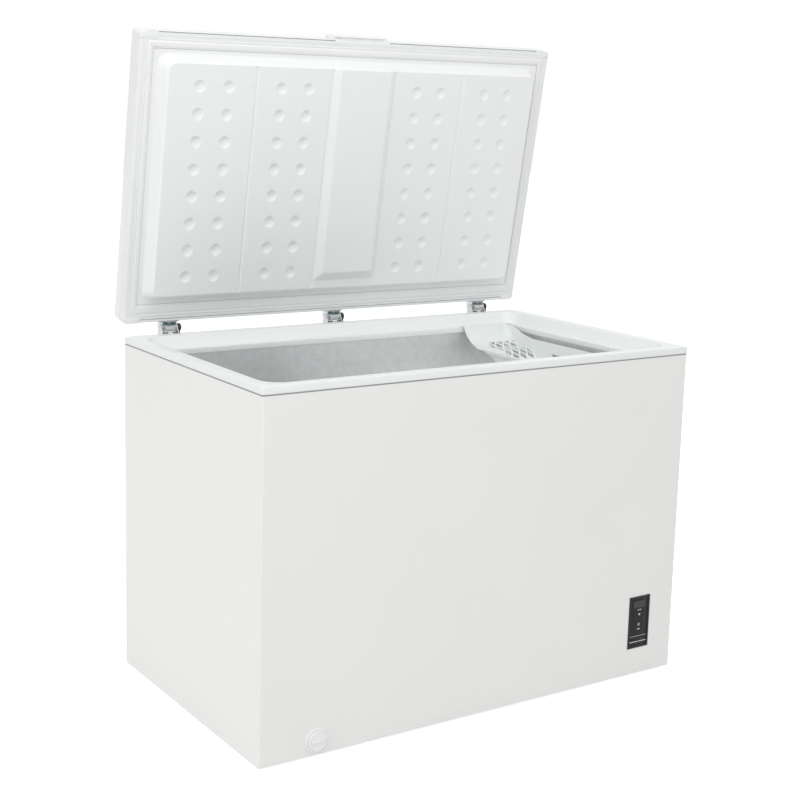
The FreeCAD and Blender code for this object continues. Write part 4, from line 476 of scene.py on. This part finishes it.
def rim_shadow_strip():
    """A dark strip that paints the shadow in the gap between the rim and the cabinet's sheet."""
    low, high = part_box("cabinet_wrap")
    lifted = 1.2 * MM
    shelf = high.z + lifted
    # Millimetres in from the sheet and down from the shelf, and the corner radius.
    section = [
        (0.05, 0, 4.5), (-0.15, 0.4, 4.5), (-0.15, 2.4, 4.5), (0.05, 2.7, 4.5), (0.6, 2.7, 4), (1.4, 0, 4),
    ]
    profile = [(inset * MM, shelf - down * MM, corner * MM) for inset, down, corner in section]
    points, faces = joined(box_rings(low, high, profile))
    add_piece("rim_shadow_strip", points, faces, "painted_shade_strip", "cabinet", smooth=60)


rim()
rim_shadow_strip()


# ---------------------------------------------------------------- lid
LID_LOW, LID_HIGH = closed_box("lid_skin")
LID_CENTRE = (LID_LOW + LID_HIGH) / 2
BORDER = LID_LOW.z  # the face of the lid's border

# Distances in millimetres from the lid's centre to the left, right, front and rear.
LID_SIDES = (563.5, 563.5, 333.0, 333.0)
GASKET_OUT = (549.7, 549.7, 319.2, 319.2)
GASKET_IN = (532.5, 532.5, 297, 289.5)
BASE = (521, 523, 287, 280)
PANEL = (504, 507, 270, 263)

# The formed sheet, in millimetres: its corners, the rise of its wall, its central wedge, and its pattern.
BASE_CORNER, PANEL_CORNER = 27, 17
WALL_RISE, WALL_STRAIGHT, WALL_CURVED = 28, 0.45, 0.55
WEDGE_HALF, WEDGE_REAR, WEDGE_SIDE, WEDGE_END = 84, 243, 15, 22
WEDGE_START, WEDGE_FULL, WEDGE_LOW, WEDGE_GROWTH = -276, 221, 7, 6.5
COLUMNS = [sign * x for x in (428, 356, 222, 151) for sign in (-1, 1)]
ROWS = [-221.5 + row * 62.8 for row in range(8)]
GROOVES = [sign * x for x in (87.5, 286.5) for sign in (-1, 1)]
DIMPLE, DIMPLE_DEPTH, DIMPLE_EDGE = 14.5, 3.9, 0.2
GROOVE, GROOVE_DEPTH, GROOVE_RUN_OUT = 3.5, 3.6, 3

# The bands across the walls and the wedge's sides, where the sheet's grid is as fine as over its pattern.
WALLS_X = [(-524, -488), (490, 524), (-85, -67), (67, 85)]
WALLS_Y = [(-290, -258), (218, 282)]
FINE_STEP, COARSE_STEP = 1.7, 9


def around(sides, inset, radius, level, steps=8):
    """Points round the lid at its sides less an inset, with round corners, all three in millimetres."""
    left, right, front, rear = [side - inset for side in sides]
    centre = (LID_CENTRE.x + (right - left) / 2 * MM, LID_CENTRE.y + (rear - front) / 2 * MM)
    half_x, half_y = (left + right) / 2 * MM, (front + rear) / 2 * MM
    return rounded_ring(centre, half_x, half_y, max(radius, 0.2) * MM, level, steps)


def lid_piece(name, points, faces, finish, smooth, replaced=(), sheet=False):
    """A piece that is drawn with the lid shut, turned open."""
    return add_piece(name, points, faces, finish, "lid", smooth, OPENED, replaced, sheet)


def lid_shell():
    """The painted skin: straight sides that turn over a round edge into the top."""
    bend, bend_steps, corner = 9 * MM, 7, 9
    lip, lip_edge, side = BORDER + 12 * MM, 0.5 * MM, BORDER + 24 * MM
    # Insets from the lid's side, and levels.
    outline = [(5.5 * MM, lip), (0.4 * MM, lip), (0, lip + lip_edge), (0, side)]
    for step in range(bend_steps + 1):
        angle = math.pi / 2 * step / bend_steps
        outline.append((bend * (1 - math.cos(angle)), LID_HIGH.z - bend * (1 - math.sin(angle))))
    outline += [(12 * MM, LID_HIGH.z), (20 * MM, LID_HIGH.z)]
    rings = [around(LID_SIDES, inset / MM, corner - inset / MM, level) for inset, level in outline]
    points, faces = joined(rings, closed=False)
    faces.append(tuple(range(len(points) - len(rings[0]), len(points))))
    piece = lid_piece("lid_shell", points, faces, "lid_paint", smooth=40, replaced=("lid_skin",))
    thicken(piece, 0.7 * MM)


def lid_border():
    """The white edge moulding round the inside of the lid, with fine lines and a seat for the gasket."""
    # Millimetres in from the lid's sides and up from the border's face, and the corner radius.
    outline = [
        (0.9, 11.4, 8), (0.2, 11.4, 9), (0.05, 2.4, 9), (0.7, 0.7, 8.4), (2.4, 0, 7),
        (4.6, 0, 5), (4.9, 0.4, 5), (5.6, 0.4, 4), (6.0, 0, 4), (9.6, 0.1, 3), (9.9, 0.5, 3), (10.6, 0.5, 2),
        (10.9, 0.1, 2), (13.8, 0.2, 2), (14.2, 3.5, 1),
    ]
    seat_inset, seat_corner, seat_levels = 7, 1, (4.5, 9)
    side_inset, side_corner, side_level = 0.9, 8, 13
    rings = [around(LID_SIDES, inset, corner, BORDER + up * MM) for inset, up, corner in outline]
    rings += [around(GASKET_IN, seat_inset, seat_corner, BORDER + up * MM) for up in seat_levels]
    rings.append(around(LID_SIDES, side_inset, side_corner, BORDER + side_level * MM))
    points, faces = joined(rings)
    lid_piece("lid_border", points, faces, "rim_plastic", smooth=50, replaced=("lid_frame",))


def lid_gasket():
    """The magnetic seal: an outer lip, bellows, the magnet band with round edges, and a bead."""
    # The share of the way from the outer to the inner edge, and millimetres up from the border's face.
    section = [
        (0.0, 3.0), (0.01, 0.2), (0.05, -0.8), (0.16, -1.1), (0.22, -0.4), (0.28, -0.4), (0.34, -1.8),
        (0.40, -2.6), (0.46, -2.8), (0.76, -2.8), (0.82, -2.5), (0.86, -1.6), (0.89, -1.1), (0.93, -1.4),
        (0.98, -1.1), (1.0, -0.4), (1.0, 3.0),
    ]
    outer_corner, inner_corner = 4, 1.5
    rings = []
    for share, level in section:
        sides = [outer + (inner - outer) * share for outer, inner in zip(GASKET_OUT, GASKET_IN)]
        corner = outer_corner - (outer_corner - inner_corner) * share
        rings.append(around(sides, 0, corner, BORDER + level * MM, steps=3))
    points, faces = joined(rings)
    lid_piece("lid_seal", points, faces, "seal_rubber", smooth=50, replaced=("lid_gasket",))


def lid_seam_shade():
    """A grey strip that paints the shade in the line between the seal and the formed sheet."""
    # Millimetres in from the seal's inner edge and up from the border's face.
    outline, corner = ((-0.5, 0.9), (-0.5, 0.55), (0.9, 0.55), (0.9, 0.9)), 1.5
    rings = [around(GASKET_IN, inset, corner, BORDER + up * MM, steps=3) for inset, up in outline]
    points, faces = joined(rings)
    lid_piece("lid_seam_shade", points, faces, "seam_shade", smooth=50)


def distance(x, y, sides, radius):
    """How far a point is outside a rectangle with round corners, given by its left, right, front and rear."""
    left, right, front, rear = sides
    dx = abs(x - (right - left) / 2) - (left + right) / 2 + radius
    dy = abs(y - (rear - front) / 2) - (front + rear) / 2 + radius
    return math.hypot(max(dx, 0), max(dy, 0)) + min(max(dx, dy), 0) - radius


def climbed(x, y):
    """How far up the sheet's sloping wall a point is: 0 at its foot and outside it, 1 on the panel."""
    from_foot, to_panel = -distance(x, y, BASE, BASE_CORNER), distance(x, y, PANEL, PANEL_CORNER)
    if to_panel <= 0:
        return 1
    return from_foot / (from_foot + to_panel) if from_foot > 0 else 0


def lining_height(x, y):
    """The formed sheet's height over its margin at a point from the lid's centre, all in millimetres."""
    slope = climbed(x, y)
    rise = WALL_RISE * (WALL_STRAIGHT * slope + WALL_CURVED * ease(slope))
    if abs(x) < WEDGE_HALF and y < WEDGE_REAR:
        crown = WEDGE_LOW + WEDGE_GROWTH * min((y - WEDGE_START) / (WEDGE_FULL - WEDGE_START), 1)
        rise += crown * slope * min((WEDGE_HALF - abs(x)) / WEDGE_SIDE, (WEDGE_REAR - y) / WEDGE_END, 1)
    if slope < 1:
        return rise
    inside = -distance(x, y, PANEL, PANEL_CORNER)
    for groove in GROOVES:
        if abs(x - groove) < GROOVE:
            rise -= GROOVE_DEPTH * (1 - abs(x - groove) / GROOVE) * min(inside / GROOVE_RUN_OUT, 1)
    for column in COLUMNS:
        if abs(x - column) < DIMPLE:
            for row in ROWS:
                away = math.hypot(x - column, y - row) / DIMPLE
                if away < 1:
                    rise -= DIMPLE_DEPTH * (1 - away ** 2) * ease((1 - away) / DIMPLE_EDGE)
    return rise


def grid_lines(low, high, bands):
    """Places from low to high, close together inside the bands and wide apart elsewhere."""
    edges = sorted({low, high} | {edge for band in bands for edge in band if low < edge < high})
    lines = [low]
    for start, end in zip(edges, edges[1:]):
        inside = any(first <= (start + end) / 2 <= last for first, last in bands)
        count = max(1, math.ceil((end - start) / (FINE_STEP if inside else COARSE_STEP)))
        lines += [start + (end - start) * (step + 1) / count for step in range(count)]
    return lines


def lid_lining():
    """The formed sheet inside the lid: a raised panel with round dimples, grooves and a central wedge."""
    margin, tucked = 0.8, 2  # millimetres under the border's face, and under the seal
    left, right, front, rear = [side + tucked for side in GASKET_IN]
    bands_x = [(column - DIMPLE, column + DIMPLE) for column in COLUMNS]
    bands_x += [(groove - GROOVE, groove + GROOVE) for groove in GROOVES]
    xs = grid_lines(-left, right, bands_x + WALLS_X)
    ys = grid_lines(-front, rear, [(row - DIMPLE, row + DIMPLE) for row in ROWS] + WALLS_Y)
    points = [(LID_CENTRE.x + x * MM, LID_CENTRE.y + y * MM, BORDER + (margin - lining_height(x, y)) * MM)
              for y in ys for x in xs]
    faces = grid_faces(len(xs), len(ys))
    piece = lid_piece("lid_lining", points, faces, "lid_inner_plastic", smooth=40, replaced=("lid_liner",),
                      sheet=True)
    thicken(piece, 1.2 * MM)


def lid_trims():
    """Dark strips along the lid's edges: those at the front, broken by the grip, paint the dark reflection
    along its front edge, and the one at the rear is a dark line.
    """
    grip, corner = closed_box("lid_handle")[1].x, LID_SIDES[1] * MM - 16 * MM
    under = BORDER - 0.2 * MM
    front, behind, front_top = LID_LOW.y - 0.1 * MM, LID_LOW.y + 1.3 * MM, BORDER + 2.6 * MM
    # The front strips are painted reflection, not joints.
    for side, start, end in (("left", -corner, -grip), ("right", grip, corner)):
        corners = ((start, front, under), (end, behind, front_top))
        strip(f"lid_dark_line_{side}", corners, "painted_shade_strip", "lid", turned=OPENED)
    half, width, rear, rear_top = 548 * MM, 1.5 * MM, LID_HIGH.y - 8.8 * MM, BORDER + 1 * MM
    corners = ((-half, rear, under), (half, rear + width, rear_top))
    strip("lid_dark_line_rear", corners, "painted_shade_strip", "lid", turned=OPENED)


def lid_grip():
    """The moulded grip on the front edge, with a shallow hollow for the fingers underneath."""
    low, high = closed_box("lid_handle")
    edge, out = high.y, high.y - low.y
    half = (high.x - low.x) / 2
    # Shares of the reach and of the height; the hollow is in the points lower than its depth.
    hollow_depth, end_height = 0.2, 0.9
    section = [
        (0, 0), (0.16, 0.001), (0.24, 0.06), (0.32, 0.11), (0.55, 0.13), (0.72, 0.10), (0.80, 0.03),
        (0.85, 0.002), (0.93, 0.015), (0.98, 0.05), (1, 0.1), (1, 0.80), (0.97, 0.90), (0.88, 0.97),
        (0.72, 1), (0, 1),
    ]
    # Shares of the half length, of the section's size, and of the hollow, from the end to the middle.
    stations = [
        (1, 0.86, 0), (0.993, 0.95, 0), (0.98, 1, 0), (0.93, 1, 0), (0.90, 1, 0.4), (0.87, 1, 0.85),
        (0.84, 1, 1),
    ]
    stations = [(-place, size, hollow) for place, size, hollow in stations] + stations[::-1]
    rings = []
    for place, size, hollow in stations:
        ring = []
        for across, up in section:
            sunk = up if across in (0, 1) or up > hollow_depth else up * hollow
            share = 0.5 + (sunk - 0.5) * (end_height + (1 - end_height) * size)
            ring.append((place * half, edge - across * out * size, low.z + (high.z - low.z) * share))
        rings.append(ring)
    points, faces = capped(rings)
    lid_piece("lid_grip", points, faces, "handle_plastic", smooth=40, replaced=("lid_handle",))


lid_shell()
lid_border()
lid_gasket()
lid_seam_shade()
lid_lining()
lid_trims()
lid_grip()


# ---------------------------------------------------------------- basket
# Insets from the basket's end and heights from its flange, in millimetres, of its end and its high wall.
BASKET_END = [(0, 0), (16, 0), (29, -21), (46, -34), (77, -47)]
HIGH_WALL = [(14, 0), (26, 1.5), (40, 2), (64, -4)]


def basket_corners():
    """Curved webs that carry each end of the basket smoothly up into its high wall, from the flange down."""
    low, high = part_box("basket")
    wall, flange = high.x - 14.2 * MM, high.z - 2.5 * MM
    rows, columns = 17, 13
    # Millimetres: where the web starts along the end, its length, its height over the floor, and its width.
    start, length, lift = 11, 45, 2.8
    narrow, spread, spread_start = 3, 44, 12
    curve = 2.4
    for side, name in ((-1, "front"), (1, "rear")):
        edge = high.y if side > 0 else low.y
        points = []
        for row in range(rows):
            inset = start + length * row / (rows - 1)
            width = narrow + spread * (1 - ease((inset - spread_start) / spread))
            floor = level_at(BASKET_END, inset) + lift
            crest = max(level_at(HIGH_WALL, inset), floor)
            for column in range(columns):
                t = column / (columns - 1)
                points.append((wall - (1 - t) * width * MM, edge - side * inset * MM,
                               flange + (floor + (crest - floor) * t ** curve) * MM))
        faces = [face[::side] for face in grid_faces(columns, rows)]
        piece = add_piece(f"basket_corner_{name}", points, faces, "basket_plastic", "basket", smooth=60,
                          sheet=True)
        thicken(piece, 1.4 * MM)


basket_corners()


# ---------------------------------------------------------------- hinges
# Millimetres from a hinge's pin, and each guide's gaps to its plunger's front, rear and foot.
WEB_HALF, WEB_FRONT, WEB_REAR, WEB_LEVEL = 16.4, -16.6, -8.4, -6.7
WEB_MIDDLE = (WEB_FRONT + WEB_REAR) / 2
PAD_SIDES, PAD_FRONT, PAD_REAR, PAD_LOW = (6, 16), -16, -15.2, -16
GUIDE_SIDES, GUIDE_FRONT_GAP, GUIDE_REAR_GAP, GUIDE_FOOT_GAP = (16.4, 19.2), 0.4, 2, 4
SLIDES_TOP = -8.3


def from_pin(pin, x, y, z):
    """A point given in millimetres from a hinge's pin."""
    return (pin.x + x * MM, pin.y + y * MM, pin.z + z * MM)


def hinge_web_painted_dark(place, pin):
    """The web between the ears of the lid's bracket, in a dark copy of the hinge steel that paints the dark
    reflection it shows.
    """
    corners = [(-WEB_HALF, WEB_FRONT), (WEB_HALF, WEB_FRONT), (WEB_HALF, WEB_REAR), (-WEB_HALF, WEB_REAR)]
    rings = []
    for size, down in ((1, 0), (1, 0.5), (0.97, 0.7)):
        rings.append([from_pin(pin, x * size, WEB_MIDDLE + (y - WEB_MIDDLE) * size, WEB_LEVEL - down)
                      for x, y in eased(corners, 1.5)])
    points, faces = capped(rings)
    lid_piece(f"hinge_web_painted_dark_{place}", points, faces, "hinge_web_painted_dark", smooth=40)


def hinge_ring(place, pin):
    """The raised ring pressed into the web."""
    off_centre, sunk = -1, 0.6
    # Millimetres up from the ring's foot, and the radius.
    profile = [(0.4, 3.7), (-0.8, 3.6), (-1.1, 3.3), (-1.1, 2.6), (-0.8, 2.2), (0.4, 2.1)]
    origin = from_pin(pin, off_centre, WEB_MIDDLE, WEB_LEVEL - sunk)
    points, faces = joined(turned_rings(origin, (0, 0, 1), profile, sides=28))
    lid_piece(f"hinge_ring_{place}", points, faces, "hinge_steel", smooth=40)


def hinge_hood(place, pin):
    """The hood over the cam, a thin plate that slopes, in the same dark copy of the steel with its painted
    dark reflection.
    """
    half, easing = 11.7, 0.4
    outline = eased([(-13.05, 0.4), (-13.9, 0.2), (-10.2, -15.7), (-9.35, -15.5)], easing)
    points, faces = capped([[from_pin(pin, x, y, z) for y, z in outline] for x in (-half, half)])
    lid_piece(f"hinge_hood_{place}", points, faces, "hinge_web_painted_dark", smooth=40)


def hinge_clip(place, pin):
    """The black clip beside the housing."""
    corners = (from_pin(pin, 21.7, -15.2, -16), from_pin(pin, 24.4, -6.8, -5))
    strip(f"hinge_clip_{place}", corners, "hinge_black_plastic", "cabinet", easing=0.6 * MM)


def hinge_slides(place, pin, plunger):
    """The black pad and guide on each side of the plunger."""
    low, high = plunger
    for side, name in ((-1, "left"), (1, "right")):
        start, end = sorted(side * x for x in PAD_SIDES)
        corners = (from_pin(pin, start, PAD_FRONT, PAD_LOW), from_pin(pin, end, PAD_REAR, SLIDES_TOP))
        strip(f"hinge_pad_{place}_{name}", corners, "hinge_black_plastic", "cabinet")
        start, end = sorted(pin.x + side * x * MM for x in GUIDE_SIDES)
        corners = ((start, low.y + GUIDE_FRONT_GAP * MM, low.z + GUIDE_FOOT_GAP * MM),
                   (end, high.y - GUIDE_REAR_GAP * MM, pin.z + SLIDES_TOP * MM))
        strip(f"hinge_guide_{place}_{name}", corners, "hinge_black_plastic", "cabinet", easing=0.5 * MM)


def hinge_details():
    """What the hinges show round their plungers, apart from the solids."""
    for place in ("left", "centre", "right"):
        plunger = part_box(f"hinge_plunger_{place}")
        pin = Vector(((plunger[0].x + plunger[1].x) / 2, HINGE.y, HINGE.z))
        hinge_web_painted_dark(place, pin)
        hinge_ring(place, pin)
        hinge_hood(place, pin)
        hinge_clip(place, pin)
        hinge_slides(place, pin, plunger)


hinge_details()


# ---------------------------------------------------------------- drain and panel
def drain_cap():
    """The round flange with its sleeve, and the dial that closes it, with a rounded bar to turn it by."""
    low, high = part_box("drain_outlet")
    thickness, sides = 3 * MM, 72
    centre = ((low.x + high.x) / 2, low.y + thickness, (low.z + high.z) / 2)
    # Profiles of (along, radius) in millimetres, from the cabinet's front.
    flange = [
        (40, 10.4), (40, 11.9), (0.2, 11.9), (0, 12.2), (0, 27.3), (-0.5, 27.45), (-1.4, 27), (-2.4, 25.8),
        (-2.8, 24.8), (-2.95, 23.4), (-2.95, 11), (-2.8, 10.4),
    ]
    dial = [
        (-3.05, 14), (-3.05, 20.6), (-3.4, 20.95), (-7.6, 20.9), (-8.6, 20.4), (-9, 19.4), (-8.9, 17.9),
        (-8.3, 17.2), (-8.2, 16), (-8.3, 6), (-8.3, 0.6),
    ]
    points, faces = joined(turned_rings(centre, (0, 1, 0), flange, sides))
    add_piece("drain_ring", points, faces, "drain_plastic", "cabinet", smooth=50, replaced=("drain_outlet",))
    points, faces = capped(turned_rings(centre, (0, 1, 0), dial, sides))
    add_piece("drain_dial", points, faces, "drain_plastic", "drain_knob_body", smooth=50,
              replaced=("drain_knob",))
    x, y, z = centre
    half_width, half_height = 15.6 * MM, 3 * MM
    front, rear = y - 11.5 * MM, y - 8 * MM
    corners = ((x - half_width, front, z - half_height), (x + half_width, rear, z + half_height))
    strip("drain_dial_bar", corners, "drain_plastic", "drain_knob_body", easing=1.1 * MM)


def relief(name, shapes, middle, finish, body):
    """Thin raised marks about a middle: pairs of an outline of (x, z) in millimetres and its hole or None."""
    sunk, proud = middle[1] + 0.25 * MM, middle[1] - 0.12 * MM
    points, faces = [], []
    for outline, hole in shapes:
        loops = [(outline, sunk), (outline, proud)]
        if hole:
            loops += [(hole, proud), (hole, sunk)]
        rings = [[(middle[0] + x * MM, depth, middle[2] + z * MM) for x, z in loop] for loop, depth in loops]
        mark_points, mark_faces = joined(rings) if hole else capped(rings)
        faces += [tuple(len(points) + index for index in face) for face in mark_faces]
        points += mark_points
    add_piece(name, points, faces, finish, body, smooth=30)


def bar(low_x, high_x, low_z, high_z, radius=0.0):
    """The outline of a rectangle, with round corners where it has a radius."""
    corners = [(low_x, low_z), (high_x, low_z), (high_x, high_z), (low_x, high_z)]
    return eased(corners, radius, steps=4) if radius else corners


def circle(radius, sides=32):
    """The outline of a circle about the middle."""
    turns = [2 * math.pi * side / sides for side in range(sides)]
    return [(radius * math.cos(turn), radius * math.sin(turn)) for turn in turns]


def panel_marks():
    """Plain marks on the control panel: a display window, bars and lines, and a sign on each key."""
    low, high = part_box("control_overlay")
    middle = ((low.x + high.x) / 2, low.y, low.z)
    window = bar(-18.5, 18.5, 94, 111, radius=1.5)
    lines = [
        bar(-4.5, -1, 87.6, 90), bar(1, 5.5, 87.6, 90), bar(-4, 4.5, 40.2, 42.3),
        bar(-25.5, 25.5, 23.7, 24.4), bar(-25.5, -1, 9.2, 11), bar(1, 25.5, 9.2, 11),
    ]
    relief("panel_display", [(window, None)], middle, "panel_window", "cabinet")
    relief("panel_lines", [(line, None) for line in lines], middle, "panel_print", "cabinet")
    signs = {
        "set": [(circle(3.4), circle(2.6)), (circle(1), None)],
        "mode": [([(3, 0), (0, 3), (-3, 0), (0, -3)], None)],
    }
    for key, shapes in signs.items():
        low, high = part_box(f"{key}_key")
        middle = ((low.x + high.x) / 2, low.y, (low.z + high.z) / 2)
        relief(f"{key}_sign", shapes, middle, "panel_print", f"{key}_key_body")


drain_cap()
panel_marks()


# ---------------------------------------------------------------- stage, camera and light
def seen_rays(owner):
    """1 for what the camera sees, by a gloss or a glass too, and 0 for the light that surfaces gather."""
    path = add_node(owner, "ShaderNodeLightPath")
    seen = path.outputs["Is Camera Ray"]
    for kind in ("Is Glossy Ray", "Is Transmission Ray"):
        either = add_node(owner, "ShaderNodeMath", operation="MAXIMUM")
        link(owner, seen, either.inputs[0])
        link(owner, path.outputs[kind], either.inputs[1])
        seen = either.outputs[0]
    return seen


def white_floor():
    """A pale floor, lit up to a white background where it is seen, with the object's shadow kept."""
    bpy.ops.mesh.primitive_plane_add(size=40)
    plane = bpy.context.object
    plane.name = "floor"
    material = new_material("floor", (0.8, 0.8, 0.8), 0.9)
    surface = material.node_tree.nodes["Principled BSDF"].outputs[0]
    glow = add_node(material, "ShaderNodeEmission", Strength=0.6)
    lit = add_node(material, "ShaderNodeAddShader")
    switch = add_node(material, "ShaderNodeMixShader")
    link(material, surface, lit.inputs[0])
    link(material, glow.outputs[0], lit.inputs[1])
    link(material, seen_rays(material), switch.inputs[0])
    link(material, surface, switch.inputs[1])
    link(material, lit.outputs[0], switch.inputs[2])
    link(material, switch.outputs[0], material.node_tree.nodes["Material Output"].inputs["Surface"])
    plane.data.materials.append(material)


def studio():
    """A white world, dimmer as a source of light than as a background."""
    world = bpy.data.worlds.new("studio")
    bpy.context.scene.world = world
    world.use_nodes = True
    background = world.node_tree.nodes["Background"]
    background.inputs["Color"].default_value = (1, 1, 1, 1)
    strength = add_node(world, "ShaderNodeMapRange", To_Min=0.74, To_Max=1.0)
    link(world, seen_rays(world), strength.inputs["Value"])
    link(world, strength.outputs[0], background.inputs["Strength"])


def lamp(name, place, target, size, power, gloss=1.0):
    """A square lamp that shines at a target and that the camera doesn't see."""
    data = bpy.data.lights.new(name, "AREA")
    data.shape = "SQUARE"
    data.size = size
    data.energy = power
    data.specular_factor = gloss
    thing = bpy.data.objects.new(name, data)
    bpy.context.scene.collection.objects.link(thing)
    thing.location = place
    thing.rotation_euler = (Vector(target) - Vector(place)).to_track_quat("-Z", "Y").to_euler()
    thing.visible_camera = False


def camera():
    """Stands to the left of the front, a little above the rim, and looks down by ten degrees."""
    data = bpy.data.cameras.new("camera")
    data.lens = 66.4
    data.shift_x = -0.0124
    data.shift_y = -0.0529
    data.clip_end = 100
    thing = bpy.data.objects.new("camera", data)
    bpy.context.scene.collection.objects.link(thing)
    place = (-1.8911, -2.8183, 1.3452)
    azimuth, elevation, roll = 0.5959, 0.174, 0.0284
    forward = Vector((math.sin(azimuth) * math.cos(elevation), math.cos(azimuth) * math.cos(elevation),
                      -math.sin(elevation)))
    level = forward.cross(Vector((0, 0, 1))).normalized()
    upright = level.cross(forward)
    right = level * math.cos(roll) + upright * math.sin(roll)
    up = upright * math.cos(roll) - level * math.sin(roll)
    matrix = Matrix((right, up, -forward)).transposed().to_4x4()
    matrix.translation = place
    thing.matrix_world = matrix
    bpy.context.scene.camera = thing


white_floor()
studio()
camera()
lamp("left", place=(-4.0, -1.0, 1.8), target=(0, 0, 0.6), size=2.5, power=21)
lamp("front", place=(-2.4, -4.2, 2.2), target=(0, 0, 0.7), size=2.4, power=8)
lamp("top", place=(-0.6, -1.3, 2.9), target=(0, 0.3, 1.0), size=2.4, power=23)
lamp("bounce", place=(0.0, -0.1, 0.5), target=(0.35, 0.02, 0.66), size=0.25, power=0.35, gloss=0.2)
lamp("basket", place=(0.43, -0.02, 0.55), target=(0.27, 0.25, 0.70), size=0.15, power=0.16, gloss=0.4)
bpy.context.scene.view_settings.view_transform = "Standard"
